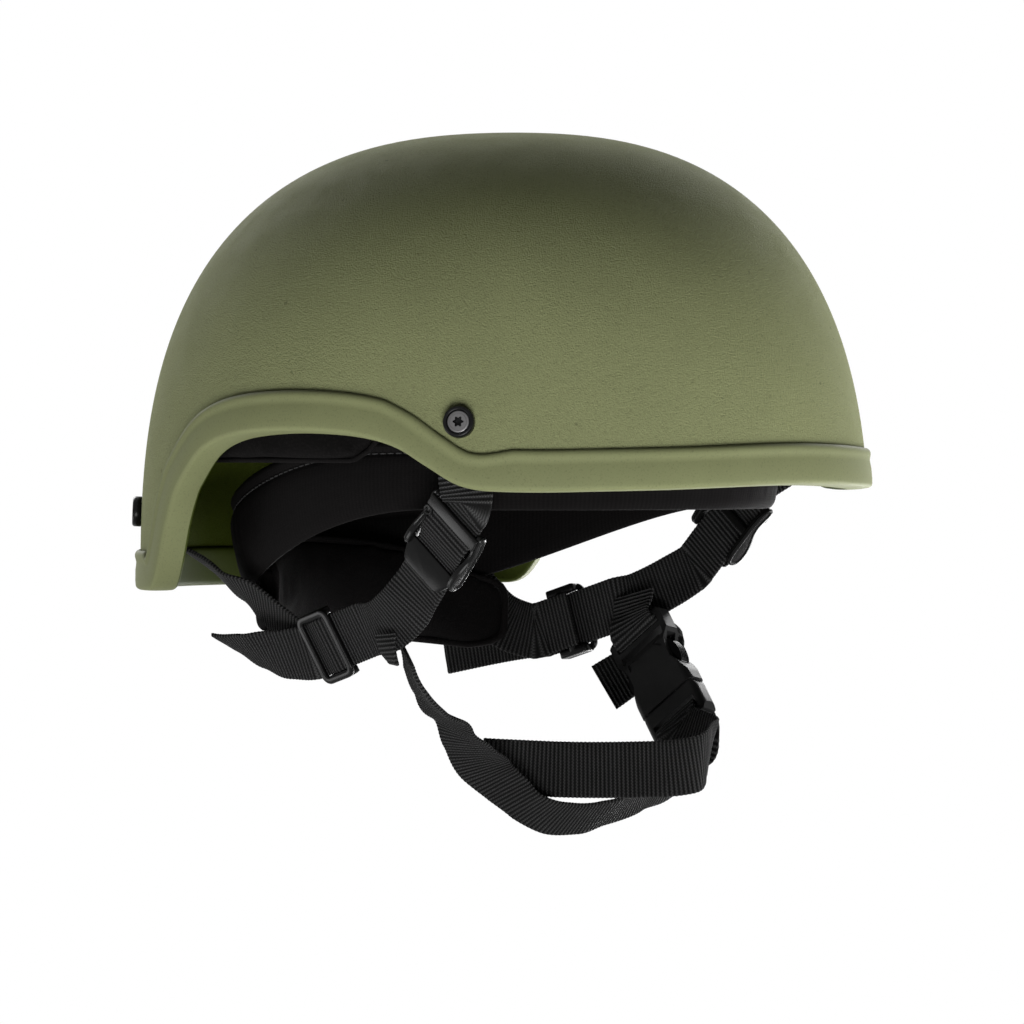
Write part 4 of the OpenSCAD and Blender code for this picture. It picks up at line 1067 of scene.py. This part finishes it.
def strap_frames(route, step):
    """Distance, centre, run, width direction and face direction at even steps along a strap's route."""
    centres, widths = (np.array([q[part] for q in route], float) for part in (0, 1))
    widths = unit(widths)
    last = len(centres) - 1
    heading = unit(np.vstack([centres[1:], centres[-1:]]) - np.vstack([centres[:1], centres[:-1]]))

    def at(k):
        i = np.minimum(np.floor(k).astype(int), last - 1)
        t = (k - i)[:, None]
        reach = np.linalg.norm(centres[i + 1] - centres[i], axis=1)[:, None]
        return between(t, reach, centres[i], centres[i + 1], heading[i], heading[i + 1])

    fine = np.linspace(0, last, 80 * last + 1)
    run = run_along(at(fine))
    distance = np.linspace(0, run[-1], max(2, int(round(run[-1] / step))) + 1)
    k = np.interp(distance, run, fine)
    i = np.minimum(np.floor(k).astype(int), last - 1)
    along = unit(at(np.minimum(last, k + 0.05)) - at(np.maximum(0, k - 0.05)))
    across = unit(square_to(mix(widths[i], widths[i + 1], ease(k - i)[:, None]), along))
    return distance, at(k), along, across, np.cross(across, along)


def webbing_section(width, thick):
    """Outline of flat webbing with round selvedges: places across and shares of the thickness."""
    half, round_edge = width / 2, thick / 2
    flat = np.linspace(-1, 1, 11) * (half - round_edge)
    turn = np.radians([60, 30, 0, -30, -60])
    edge = np.stack([half - round_edge + round_edge * np.cos(turn), round_edge * np.sin(turn)], -1)
    return np.vstack([np.stack([flat, np.full(11, round_edge)], -1), edge,
                      np.stack([flat[::-1], np.full(11, -round_edge)], -1), -edge])


WEB_ANGLE = 70  # degrees above which an edge of the webbing is sharp
TAPER_START = 0.87  # share of a strap's length at which its tail starts to narrow
SELVEDGE_RIB, BODY_SHARE = 0.9, 0.94  # height of the ribs at the selvedges, thickness between the ribs, as shares
END_SHARE, END_LENGTH = 0.72, 0.9  # thickness of a cut end, and how far it reaches in millimetres
CREASE_PITCH, CREASE_HEIGHT = 14, 0.05


def strap_mesh(name, route, settings, side=LEFT, width=WEB_WIDTH, frayed=0.0, over=(), taper=1.0, part=None):
    """Ribbed webbing along a route that is written for the wearer's left.

    It stands up over the bars in `over` (place, rise and reach), and its last eighth narrows to the share `taper`.
    With `part`, only the stretch between those two points of the route is kept; None is the strap's own end."""
    pitch = settings.rib_pitch / MM
    rib = settings.rib_height / MM
    distance, centre, along, across, up = strap_frames(route, pitch / 4)
    outline = webbing_section(width, WEB_THICK)
    wave = np.cos(2 * math.pi * distance / pitch)[:, None]
    flat = np.abs(outline[:, 1]) >= WEB_THICK / 2 - 1e-6
    for bar, rise, reach in over:
        nearest = distance[np.argmin(np.linalg.norm(centre - np.array(bar), axis=1))]
        centre = centre + up * (rise * np.exp(-((distance - nearest) / reach) ** 2))[:, None]
    narrowing = ease((distance / distance[-1] - TAPER_START) / (1 - TAPER_START))[:, None]
    wide = outline[:, 0] * mix(1, taper, narrowing)
    wide = wide * (1 + np.where(flat, 0, 1) * (rib * SELVEDGE_RIB / (width / 2)) * wave)
    thick = outline[:, 1] * (BODY_SHARE + np.where(flat, rib / (WEB_THICK / 2), 0) * wave)
    crease = ripple(distance[:, None], outline[None, :, 0], CREASE_PITCH, len(name)) * CREASE_HEIGHT
    ends = np.minimum(distance, distance[-1] - distance)[:, None]
    thick = thick * mix(END_SHARE, 1, ease(ends / END_LENGTH))
    grid = (centre[:, None] + across[:, None] * wide[..., None] + up[:, None] * (thick + crease)[..., None])
    if frayed:
        dice = np.random.default_rng(7)
        ragged = dice.uniform(-1, 0.2, len(outline)) * frayed
        grid[-1] += along[-1] * ragged[:, None]
        grid[-2] += along[-1] * ragged[:, None] * 0.5
    grid = grid * np.array([side, 1, 1])
    if part:
        first, last = (end if point is None else int(np.argmin(np.linalg.norm(centre - np.array(point), axis=1)))
                       for point, end in zip(part, (0, len(grid) - 1)))
        grid, distance = grid[first:last + 1], distance[first:last + 1]
    return skin_mesh(name, grid, wrap_cols=True, ends=True, u=distance, v=run_along(outline))


ADJUSTER_AT = {RIGHT: [89, -47, -16.5], LEFT: [90, -29, -10]}
ADJUSTER_RUN = {RIGHT: [-0.2, 0.7, -0.69], LEFT: [-0.12, 0.63, -0.765]}
ADJUSTER_ACROSS = {RIGHT: [-0.125, -0.717, -0.69], LEFT: [-0.12, -0.775, -0.62]}
SLIDER_AT = {RIGHT: [74, 20.5, -54.5], LEFT: [76, 36.5, -49.5]}
SLIDER_RUN = {RIGHT: [-0.15, 0.95, -0.27], LEFT: [-0.12, 0.95, -0.3]}
SLIDER_ACROSS = {RIGHT: [-0.32, -0.31, -0.9], LEFT: [0, -0.3, -0.95]}
STRAP_LEAN = {RIGHT: 4, LEFT: 38}
JUNCTION = {
    RIGHT: [([83, -21.5, -41.5], [-0.38, -0.55, -0.74]), ([80, -10, -47.3], [-0.39, -0.4, -0.83])],
    LEFT: [([85, -3, -35], [-0.1, -0.6, -0.8]), ([81.8, 9, -41], [-0.06, -0.45, -0.89])]}
TAIL = {
    RIGHT: [([72.6, 44, -58.5], [-0.5, -0.1, -0.86]), ([72, 59, -57.5], [-0.75, 0, -0.66]),
            ([70, 74.5, -54.5], [-0.92, 0, -0.4])],
    LEFT: [([74.3, 51.5, -53], [0, -0.25, -0.97]), ([72.6, 68, -55.5], [0, -0.2, -0.98]),
           ([67.5, 90, -60], [0, -0.15, -0.98])]}
REAR_POINTS = {
    RIGHT: [([65, 98.8, -21.5], [-0.7, 0.72, 0]), ([65, 86.5, -27.5], [-0.76, 0.62, -0.12]),
            ([67.6, 72.5, -34.5], [-0.76, 0.6, -0.22]), ([69, 57, -41.5], [-0.6, 0.25, -0.76])],
    LEFT: [([65, 98.8, -21.5], [-0.7, 0.72, 0]), ([65, 86.5, -27.5], [-0.55, 0.5, -0.55]),
           ([67.5, 77.5, -37.5], [-0.22, 0.15, -0.95]), ([69, 65, -48.5], [-0.35, -0.1, -0.93])]}


def strap_at_bolt(which, up, inwards=0.0, lean=0.0):
    """Centre of the strap behind a bolt, moved up the wall, with its width direction."""
    centre, across, climb, _ = bolt_frame(which, LEFT)
    turn = math.radians(lean)
    p = centre + up * (math.cos(turn) * climb - math.sin(turn) * across)
    return dome(angle_of(p), p[2], STRAP_DEPTH - inwards)


def straight(at, run, across, back, ahead):
    """Two points in line at each end of a straight stretch."""
    return [(np.array(at) + unit(np.array(run, float)) * d, across) for d in (-back - 3, -back, ahead, ahead + 3)]


def front_route(side):
    """Route of a front strap, from its temple bolt through the adjuster and the slider to its tail."""
    _, across, climb, _ = bolt_frame("temple", LEFT)
    turn = math.radians(STRAP_LEAN[side])
    width = -(math.cos(turn) * across + math.sin(turn) * climb)
    start = [(strap_at_bolt("temple", up, inwards, STRAP_LEAN[side]),
              mix(width, np.array(ADJUSTER_ACROSS[side]), share))
             for up, inwards, share in ((9, 0, 0), (0, 0, 0), (-8, 0, 0), (-9.5, 0.2, 0.08), (-14.5, 2.8, 0.65))]
    return (start
            + straight(ADJUSTER_AT[side], ADJUSTER_RUN[side], ADJUSTER_ACROSS[side], ADJUSTER_LEN / 2 + 2.4,
                       ADJUSTER_LEN / 2 + ADJUSTER_TRAVEL + THUMB_TAB - 4)
            + JUNCTION[side]
            + straight(SLIDER_AT[side], SLIDER_RUN[side], SLIDER_ACROSS[side], SLIDER_LEN / 2 + SLIDER_TRAVEL,
                       SLIDER_LEN / 2)
            + TAIL[side])


def rear_route(side):
    """Route of a rear strap, from its rear bolt round the headband to the slider."""
    _, across, _, _ = bolt_frame("rear", LEFT)
    start = [(strap_at_bolt("rear", up, inwards), across) for up, inwards in ((9, 0), (0, 0), (-8, 0), (-9.5, 0.5))]
    run, wide = unit(np.array(SLIDER_RUN[side], float)), np.array(SLIDER_ACROSS[side], float)
    inset = WEB_THICK / 2 + WEB_GAP + BAR_THICK + WEB_GAP + WEB_THICK / 2
    behind = np.array(SLIDER_AT[side]) - unit(np.cross(wide, run)) * inset
    finish = [(behind + run * back, wide) for back in (SLIDER_LEN / 2 + 5, SLIDER_LEN / 2, -BAR_WIDTH / 2 - 2)]
    return start + REAR_POINTS[side] + finish


def front_stretches(side, word):
    """The four stretches of a front strap, each between the helmet and one sliding piece.

    It is cut on the middle bars and half way between them. Each row gives the name's ending, the stretch's two ends,
    its two bodies, and the two points between which it bends."""
    adjuster, slider = np.array(ADJUSTER_AT[side], float), np.array(SLIDER_AT[side], float)
    run, slide = unit(np.array(ADJUSTER_RUN[side], float)), unit(np.array(SLIDER_RUN[side], float))
    halfway = np.array(JUNCTION[side][0][0], float)
    near, far = ADJUSTER_LEN / 2, ADJUSTER_LEN / 2 + ADJUSTER_TRAVEL + THUMB_TAB - 1
    before, after = SLIDER_LEN / 2 + SLIDER_TRAVEL + 8, SLIDER_LEN / 2
    return [
        ("top", (None, adjuster), ("helmet", word + "_adjuster"),
         (adjuster - run * (near + 5.4), adjuster - run * near)),
        ("middle", (adjuster, halfway), (word + "_adjuster", "helmet"),
         (adjuster + run * near, adjuster + run * far)),
        ("lower", (halfway, slider), ("helmet", word + "_slider"),
         (slider - slide * before, slider - slide * after)),
        ("tail", (slider, None), (word + "_slider", "helmet"),
         (slider + slide * after, slider + slide * (after + 14)))]


class HELMET_OT_straps(bpy.types.Operator):
    """Threads the front straps through adjusters and sliders, and the rear straps to the sliders"""

    bl_idname = "helmet.straps"
    bl_label = "Front and rear straps"

    def execute(self, context):
        settings = context.scene.helmet_webbing
        finish = webbing_nylon(settings)
        for side, word in ((RIGHT, "right"), (LEFT, "left")):
            frayed, taper = (1.1, 0.72) if side == RIGHT else (0.3, 1.0)
            over = [(ADJUSTER_AT[side], 2.2, 5.0), (SLIDER_AT[side], 1.4, 3.6)]
            for suffix, part, bodies, ends in front_stretches(side, word):
                mesh = strap_mesh(word + "_front_webbing", front_route(side), settings, side, frayed=frayed,
                                  over=over, taper=taper, part=part)
                mesh.name = word + "_front_webbing_" + suffix
                piece = new_object(mesh.name, mesh, finish, None, WEB_ANGLE,
                                   word + "_front_strap")
                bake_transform(piece)
            mesh = strap_mesh(word + "_rear_webbing", rear_route(side), settings, side)
            piece = new_object(word + "_rear_webbing", mesh, finish, None, WEB_ANGLE,
                               word + "_rear_strap")
            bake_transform(piece)
        return {"FINISHED"}


BUCKLE_AT = np.array([75, 3.5, -51])
BUCKLE_X = unit(np.array([0.102, -0.78, 0.618]))
BUCKLE_Y = unit(square_to(np.array([-0.164, -0.623, -0.765]), BUCKLE_X))
BUCKLE_Z = np.cross(BUCKLE_X, BUCKLE_Y)


def buckle_dir(p):
    return BUCKLE_X * p[0] + BUCKLE_Y * p[1] + BUCKLE_Z * p[2]


def from_buckle(p):
    """Point in the buckle's own axes, carried to the helmet's."""
    return BUCKLE_AT + buckle_dir(p)


BAR_Y = SOCKET_LEN + MOUTH_GAP + PLUG_BASE - 1.4
WINDOW_Y = BAR_Y - 1.4 - 2.3
BAR_CLEAR = (BUCKLE_THICK - 1.6) / 2 + WEB_GAP + WEB_THICK / 2 + 0.1
CHIN_POINTS = [
    ([-76.3, -16.9, -56.1], [-0.71, -0.70, 0.03]), ([-68.6, -15, -66.2], [-0.69, -0.72, 0.06]),
    ([-55.7, -11.7, -75.6], [-0.67, -0.73, 0.10]), ([-42.4, -8.9, -82.4], [-0.58, -0.79, 0.19]),
    ([-32.1, -7, -90.5], [-0.35, -0.88, 0.33]), ([-18.5, -4.5, -99.9], [-0.11, -0.84, 0.53]),
    ([-9.8, -6.9, -106.8], [-0.22, -0.81, 0.54]), ([-3, -10.4, -113], [-0.40, -0.75, 0.54]),
    ([7.3, -14.7, -117.2], [-0.54, -0.60, 0.59]), ([20, -18.9, -117.6], [-0.71, -0.52, 0.47]),
    ([31.7, -21.8, -115.1], [-0.81, -0.52, 0.27]), ([48, -23.6, -109.2], [-0.75, -0.48, 0.45]),
    ([68, -24.5, -103.5], [-0.2, -0.68, 0.72])]
RETURN_POINTS = [
    ([56.5, -44.5, -91], [0.04, -0.36, 0.93]), ([46.9, -52, -93.7], [0.07, -0.1, 0.98]),
    ([37.8, -56.7, -96.8], [0.05, -0.06, 0.99]), ([31.9, -56, -98.3], [0.03, -0.04, 1]),
    ([24.3, -48.6, -99.4], [0, 0, 1]), ([3.6, -18.7, -99.7], [-0.06, -0.05, 1]),
    ([-10.8, 3.8, -97.8], [-0.28, -0.24, 0.93])]
TAB_POINTS = [([-83.4, -13.9, -50], [0, -1, 0]), ([-83, -14.4, -55], [-0.2, -0.95, 0]),
              ([-80.5, -15.5, -60.5], [-0.5, -0.85, 0])]
SLOT_Y = 2.6 + 1.6
BUCKLE_STRAP_POINTS = [
    ([5.5, -11, -0.9], [1, 0, 0]), ([3, -6.5, -2], [1, 0, 0]), ([0.8, -2.5, -3.6], [1, 0, 0]),
    ([0, 1, -4.1], [1, 0, 0]), ([0, SLOT_Y - 0.25, -3.2], [1, 0, 0]), ([0, SLOT_Y, 0], [1, 0, 0]),
    ([0, SLOT_Y, 4.5], [1, 0, 0]), ([0, SLOT_Y + 0.5, 8], [1, 0, 0]), ([-4, SLOT_Y + 1.5, 11], [0.75, 0.6, 0]),
    ([-13, SLOT_Y + 2, 9.5], [0.35, 0.9, 0.1]), ([-26.5, SLOT_Y + 2.8, 4.5], [0.27, 0.9, 0.2])]


class HELMET_OT_chin_strap(bpy.types.Operator):
    """Lays the chin strap from the right junction round the plug's bar and back, with its tab"""

    bl_idname = "helmet.chin_strap"
    bl_label = "Chin strap"

    def execute(self, context):
        settings = context.scene.helmet_webbing
        finish = webbing_nylon(settings, "chin_webbing", 1.15)
        out = CHIN_POINTS + [(from_buckle(p), BUCKLE_X) for p in (
            [0, BAR_Y + 4, BAR_CLEAR], [0, BAR_Y - 1, BAR_CLEAR], [0, WINDOW_Y, BAR_CLEAR - 1.5],
            [0, WINDOW_Y, 0.2])]
        back = [(from_buckle(p), BUCKLE_X) for p in (
            [0, WINDOW_Y, -0.2], [0, WINDOW_Y, 1.5 - BAR_CLEAR], [0, BAR_Y - 1, -BAR_CLEAR],
            [0, BAR_Y + 3, -BAR_CLEAR - 0.9])] + RETURN_POINTS
        for name, node, route in (("chin_webbing", "chin_strap", out),
                                  ("chin_return_webbing", "chin_strap_return", back)):
            mesh = strap_mesh(name, route, settings)
            piece = new_object(name, mesh, finish, None, WEB_ANGLE, node)
            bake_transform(piece)
        mesh = strap_mesh("chin_tab_webbing", TAB_POINTS, settings, width=9)
        new_object("chin_tab_webbing", mesh, finish, smooth_angle=WEB_ANGLE, node="chin_strap_tab")
        return {"FINISHED"}


class HELMET_OT_buckle_strap(bpy.types.Operator):
    """Threads the short strap of the socket over its ladder bar"""

    bl_idname = "helmet.buckle_strap"
    bl_label = "Buckle strap"

    def execute(self, context):
        settings = context.scene.helmet_webbing
        route = [(from_buckle(p), buckle_dir(w)) for p, w in BUCKLE_STRAP_POINTS]
        mesh = strap_mesh("buckle_webbing", route, settings)
        finish = webbing_nylon(settings, "buckle_webbing_weave")
        new_object("buckle_webbing", mesh, finish, smooth_angle=WEB_ANGLE, node="buckle_strap")
        return {"FINISHED"}


# Hardware

def dress(node, finish, edge):
    """Gives a CAD node its finish and softened edges; its own mesh stays as it is."""
    for slot in node.material_slots:
        slot.link = "OBJECT"
        slot.material = finish
    for name, kind, settings in (
            ("Weld", "WELD", {"merge_threshold": 0.00002}),
            ("Whole faces", "DECIMATE", {"decimate_type": "DISSOLVE", "angle_limit": math.radians(3)}),
            ("Soft edges", "BEVEL", {"width": edge, "segments": 3, "limit_method": "ANGLE",
                                     "angle_limit": math.radians(28)}),
            ("Even shading", "WEIGHTED_NORMAL", {})):
        modifier = node.modifiers.new(name, kind)
        for setting, value in settings.items():
            setattr(modifier, setting, value)


MOULD_ANGLE = 38  # degrees above which an edge of a moulding is sharp
FRAME_WIDTH, SLOT_WIDTH = 26.0, 21.0
RAIL = (FRAME_WIDTH - SLOT_WIDTH) / 2
BAR_FACE = WEB_THICK / 2 + WEB_GAP
SINK = BAR_FACE + BAR_THICK
RAIL_OUTLINE = np.array([
    (13.6, -0.6), (13.4, 1.4), (12.2, 3.2), (10, 4.0), (7, 4.0), (4, 3.3), (1.5, 2.2), (-1, 1.1), (-4, 0.7),
    (-7, 1.2), (-9, 1.9), (-11.5, 2.0), (-12.6, 1.0), (-12.6, -0.4), (-11, -1.5), (-8, -2.4), (-4, -2.9),
    (9, -2.9), (12.2, -2.3)])


def cross_bar(y, low, wide=BAR_WIDTH, thick=BAR_THICK, length=SLOT_WIDTH + 2.6):
    """A rounded bar across the webbing."""
    section = rounded(wide, thick, min(wide, thick) * 0.42) + np.array([y, low + thick / 2])
    return plate(section, -length / 2, length / 2, 0.3, "yz")


def side_plates(outline, inner, outer, edge):
    """The same slab on both sides of the webbing, between two distances from its middle."""
    return [plate(outline, *sorted((side * inner, side * outer)), edge, "yz") for side in (-1, 1)]


def adjuster_parts():
    """Rails with a raised rim, the bars over and under the webbing, the thumb tab and the small lug."""
    half = ADJUSTER_LEN / 2
    outline = soft_outline(RAIL_OUTLINE)
    rails = side_plates(outline, SLOT_WIDTH / 2, SLOT_WIDTH / 2 + RAIL - 0.35, 0.5)
    parts = []
    for side, rail in zip((-1, 1), rails):
        parts.append(rail)
        rim = np.column_stack([np.full(len(outline), side * (FRAME_WIDTH / 2 - 0.75)),
                               outline - 0.6 * outline_normals(outline)])
        parts.append(tube(rim, 0.8, 8, closed=True))
    parts.append(cross_bar(-half + BAR_WIDTH, BAR_FACE, 5.0, 1.9, SLOT_WIDTH + 3.4))
    parts.append(cross_bar(0, -SINK))
    tab = soft_outline(np.array([(11.6, 0), (9.4, THUMB_TAB - 0.8), (8, THUMB_TAB + 0.2), (-8, THUMB_TAB + 0.2),
                                 (-9.4, THUMB_TAB - 0.8), (-11.6, 0), (-11.6, -3), (11.6, -3)]), 0.8)
    points, faces = plate(tab, 0, BAR_THICK, 0.5)
    turn = math.radians(12)
    points = np.column_stack([points[:, 0], half - 0.2 + points[:, 1] * math.cos(turn) - points[:, 2] * math.sin(turn),
                              BAR_FACE + points[:, 1] * math.sin(turn) + points[:, 2] * math.cos(turn)])
    parts.append((points, faces))
    turn = np.linspace(0, 2 * math.pi, 24, endpoint=False)
    lug = np.column_stack([-10.6 + 1.5 * np.cos(turn), -4.6 + 1.5 * np.sin(turn), 2.4 + 0 * turn])
    parts.append(tube(lug, 0.55, 8, closed=True))
    return parts


def slider_parts():
    """A rounded frame over the webbing, its cheeks and the bar under the webbing."""
    frame_route = rounded(FRAME_WIDTH - 2.5, SLIDER_LEN - 2.6, 2.6, 8)
    parts = [frame_loop(frame_route, 2.5, BAR_THICK, 0.65, BAR_FACE + BAR_THICK / 2)]
    cheek = rounded(SLIDER_LEN - 4.6, 2 * SINK - 0.7, 1.4) + np.array([0, -0.3])
    return parts + side_plates(cheek, SLOT_WIDTH / 2 - 0.4, FRAME_WIDTH / 2 - 0.1, 0.6) + [cross_bar(0, -SINK)]


def prong_parts(side):
    """A springy prong of the plug, with the ridges that a finger presses."""
    root = SOCKET_LEN + MOUTH_GAP
    catch_y, cavity = SOCKET_LEN - 9, 0.36 * BUCKLE_WIDTH - 0.8
    out, inner, catch_out = cavity - 0.4, cavity - 3.0, 0.44 * BUCKLE_WIDTH
    tip = catch_y - 12
    outline = np.array([
        (inner, root - 0.25), (inner, tip + 0.8), (inner + 1.4, tip), (catch_out - 1.8, tip + 0.9),
        (catch_out - 0.3, tip + 3), (catch_out + 0.5, tip + 6), (catch_out + 0.4, catch_y - 3),
        (catch_out, catch_y - 0.8), (catch_out - 0.6, catch_y), (out, catch_y + 0.6), (out, root - 0.25)])
    if side > 0:
        outline = outline[::-1]
    outline = outline * np.array([side, 1])
    shape = soft_outline(outline, 0.5)
    parts = [plate(shape, -2.1, 2.1, 0.5)]
    edge = shape[(shape[:, 0] * side > catch_out - 1.5) & (shape[:, 1] > tip + 1.5) & (shape[:, 1] < catch_y - 1)]
    edge = edge[np.argsort(edge[:, 1])]
    for z in (-1.4, -0.45, 0.5, 1.45):
        parts.append(tube(np.column_stack([edge, np.full(len(edge), z)]), 0.33, 6))
    return parts


class HELMET_OT_hardware(bpy.types.Operator):
    """Moulds the adjusters, sliders and prongs, and finishes the buckle and the metal parts behind the straps"""

    bl_idname = "helmet.hardware"
    bl_label = "Hardware"

    def execute(self, context):
        settings = context.scene.helmet_hardware
        plastic = moulded_plastic(settings, "buckle_plastic", 2.0)
        glossy = moulded_plastic(settings, "adjuster_plastic", 1.0, 0.2)
        for side, word in ((RIGHT, "right"), (LEFT, "left")):
            for name, parts, place in (
                    ("adjuster", adjuster_parts(), (ADJUSTER_AT, ADJUSTER_ACROSS, ADJUSTER_RUN)),
                    ("slider", slider_parts(), (SLIDER_AT, SLIDER_ACROSS, SLIDER_RUN))):
                placed, node = fitted(parts, *(table[side] for table in place), side), word + "_" + name
                new_object(node + "_moulding", placed, glossy, node, MOULD_ANGLE, node)
        for side, name in ((1, "front_prong"), (-1, "rear_prong")):
            placed = fitted(prong_parts(side), BUCKLE_AT, BUCKLE_X, BUCKLE_Y)
            new_object(name + "_moulding", placed, glossy, name, MOULD_ANGLE, name)
        for name in ("buckle_socket", "buckle_plug"):
            dress(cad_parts[name], plastic, settings.edge * 1.6)
        steel = plain_steel(settings, "nut_steel", from_screen(70, 70, 70))
        for name in ("sleeve_nuts", "strap_eyelets"):
            dress(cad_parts[name], steel, 0.0002)
        return {"FINISHED"}


# Stage

CAMERA_TURN, CAMERA_RISE, CAMERA_DISTANCE = math.radians(-49.6), math.radians(0.6), 2.5
SENSOR_WIDTH, FOCAL_PIXELS, IMAGE_PIXELS = 36, 7025, 1024
LAMP_SIZE, LAMP_DISTANCE = 0.9, 1.6
FLOOR_SIDES = 96


def lamp(name, power, place):
    """A soft square lamp that points at the frame's origin."""
    data = bpy.data.lights.new(name, "AREA")
    data.energy = power
    data.shape = "RECTANGLE"
    data.size = data.size_y = LAMP_SIZE
    piece = bpy.data.objects.new(name, data)
    piece.location = place
    piece.rotation_euler = (-Vector(place)).to_track_quat("-Z", "Y").to_euler()
    bpy.context.scene.collection.objects.link(piece)


def seen_white(f):
    """The three kinds of ray that see white, as one value."""
    seen = f.node("LightPath", output="Is Camera Ray")
    return seen + (f.node("LightPath", output="Is Glossy Ray") + f.node("LightPath", output="Is Transmission Ray"))


class HELMET_OT_stage(bpy.types.Operator):
    """Sets the floor, the soft lamps, the white surround and the camera"""

    bl_idname = "helmet.stage"
    bl_label = "Stage"

    def execute(self, context):
        settings = context.scene.helmet_stage
        turn, tilt = CAMERA_TURN, CAMERA_RISE
        back = Vector((math.sin(turn) * math.cos(tilt), -math.cos(turn) * math.cos(tilt), math.sin(tilt)))
        right = Vector((math.cos(turn), math.sin(turn), 0))
        up = back.cross(right)
        data = bpy.data.cameras.new("camera")
        data.sensor_width = SENSOR_WIDTH
        data.lens = SENSOR_WIDTH * FOCAL_PIXELS / IMAGE_PIXELS
        data.clip_end = 50
        camera = bpy.data.objects.new("camera", data)
        target = Vector((0, 0, -0.0083)) + right * 0.00032 - up * 0.0002
        axes = Matrix((right, up, back)).transposed().to_4x4()
        camera.matrix_world = Matrix.Translation(target + back * CAMERA_DISTANCE) @ axes
        context.scene.collection.objects.link(camera)
        context.scene.camera = camera
        ahead = Vector((back.x, back.y, 0)).normalized()
        for name, power, turn, rise in (
                ("low_front_softbox", settings.front_lamp, 0, -30),
                ("low_right_softbox", settings.right_lamp, 92, -28),
                ("under_right_softbox", settings.right_lamp, 150, -30),
                ("low_left_softbox", settings.left_lamp, -90, -30),
                ("right_rim_softbox", settings.rim_lamp, 150, 30),
                ("left_rim_softbox", settings.rim_lamp, -150, 30)):
            turn, rise = math.radians(turn), math.radians(rise)
            way = (right * math.sin(turn) + ahead * math.cos(turn)) * math.cos(rise) + Vector((0, 0, math.sin(rise)))
            lamp(name, power, way * LAMP_DISTANCE)
        context.scene.view_settings.view_transform = "Standard"
        self.floor(settings)
        self.surround(context)
        return {"FINISHED"}

    def floor(self, settings):
        """A round floor, far wider than the helmet, that keeps its shadow."""
        turn = np.linspace(0, 2 * math.pi, FLOOR_SIDES, endpoint=False)
        radii = np.array([0.05, 0.15, 0.28, 0.4]) / MM
        height = np.full(FLOOR_SIDES, settings.floor_height / MM)
        grid = np.array([np.stack([r * np.cos(turn), r * np.sin(turn), height], -1) for r in radii])
        faces = ring_faces(len(radii), FLOOR_SIDES)[:-2] + [list(range(FLOOR_SIDES))]
        mesh = joined_mesh("floor", [(grid.reshape(-1, 3), faces)])
        f = Finish("floor_white")
        seen = seen_white(f)
        white = f.node("Emission", {}, {"Color": (1, 1, 1, 1), "Strength": 1.0})
        matt = f.node("BsdfDiffuse", {}, {"Color": (0.86, 0.86, 0.86, 1)})
        far = f.node("VectorMath", {"operation": "LENGTH"}, {0: f.place()}, output=1)
        share = f.ramp(far, (0.24, 0.5), (0.38, 1))
        mesh.materials.append(f.end(f.node("MixShader", {}, {0: seen * share, 1: matt, 2: white})))
        piece = bpy.data.objects.new("floor", mesh)
        bpy.context.scene.collection.objects.link(piece)

    def surround(self, context):
        """A white surround for the camera and for reflections, and a dim one for soft light."""
        f = Finish("studio", "worlds")
        context.scene.world = f.material
        white, soft = (f.node("Background", {}, {"Color": (1, 1, 1, 1), "Strength": power}) for power in (1.0, 0.06))
        f.end(f.node("MixShader", {}, {0: seen_white(f), 1: soft, 2: white}), "ShaderNodeOutputWorld")


OPERATORS = (HELMET_OT_stage, HELMET_OT_shell, HELMET_OT_trim, HELMET_OT_screws, HELMET_OT_pads, HELMET_OT_tapes,
             HELMET_OT_headband, HELMET_OT_nape_pad, HELMET_OT_straps, HELMET_OT_chin_strap,
             HELMET_OT_buckle_strap, HELMET_OT_hardware)
SETTINGS = {"helmet_shell": HelmetShellSettings, "helmet_padding": HelmetPaddingSettings,
            "helmet_webbing": HelmetWebbingSettings, "helmet_hardware": HelmetHardwareSettings,
            "helmet_stage": HelmetStageSettings}


class HELMET_PT_build(bpy.types.Panel):
    """Lists the steps that dress the helmet"""

    bl_label = "Combat helmet"
    bl_idname = "HELMET_PT_build"
    bl_space_type = "VIEW_3D"
    bl_region_type = "UI"
    bl_category = "Helmet"

    def draw(self, context):
        for name in SETTINGS:
            box = self.layout.box()
            box.label(text=name.replace("helmet_", "").capitalize())
            group = getattr(context.scene, name)
            for field in group.__annotations__:
                box.prop(group, field)
        for operator in OPERATORS:
            self.layout.operator(operator.bl_idname)


CLASSES = tuple(SETTINGS.values()) + OPERATORS + (HELMET_PT_build,)


def register():
    """Adds the settings, the operators and the panel."""
    for item in CLASSES:
        bpy.utils.register_class(item)
    for name, group in SETTINGS.items():
        setattr(bpy.types.Scene, name, PointerProperty(type=group))


def unregister():
    """Takes them away again."""
    for name in SETTINGS:
        delattr(bpy.types.Scene, name)
    for item in reversed(CLASSES):
        bpy.utils.unregister_class(item)


def main():
    """Dresses the helmet step by step."""
    register()
    for operator in OPERATORS:
        family, step = operator.bl_idname.split(".")
        getattr(getattr(bpy.ops, family), step)()


if __name__ == "__main__":
    main()
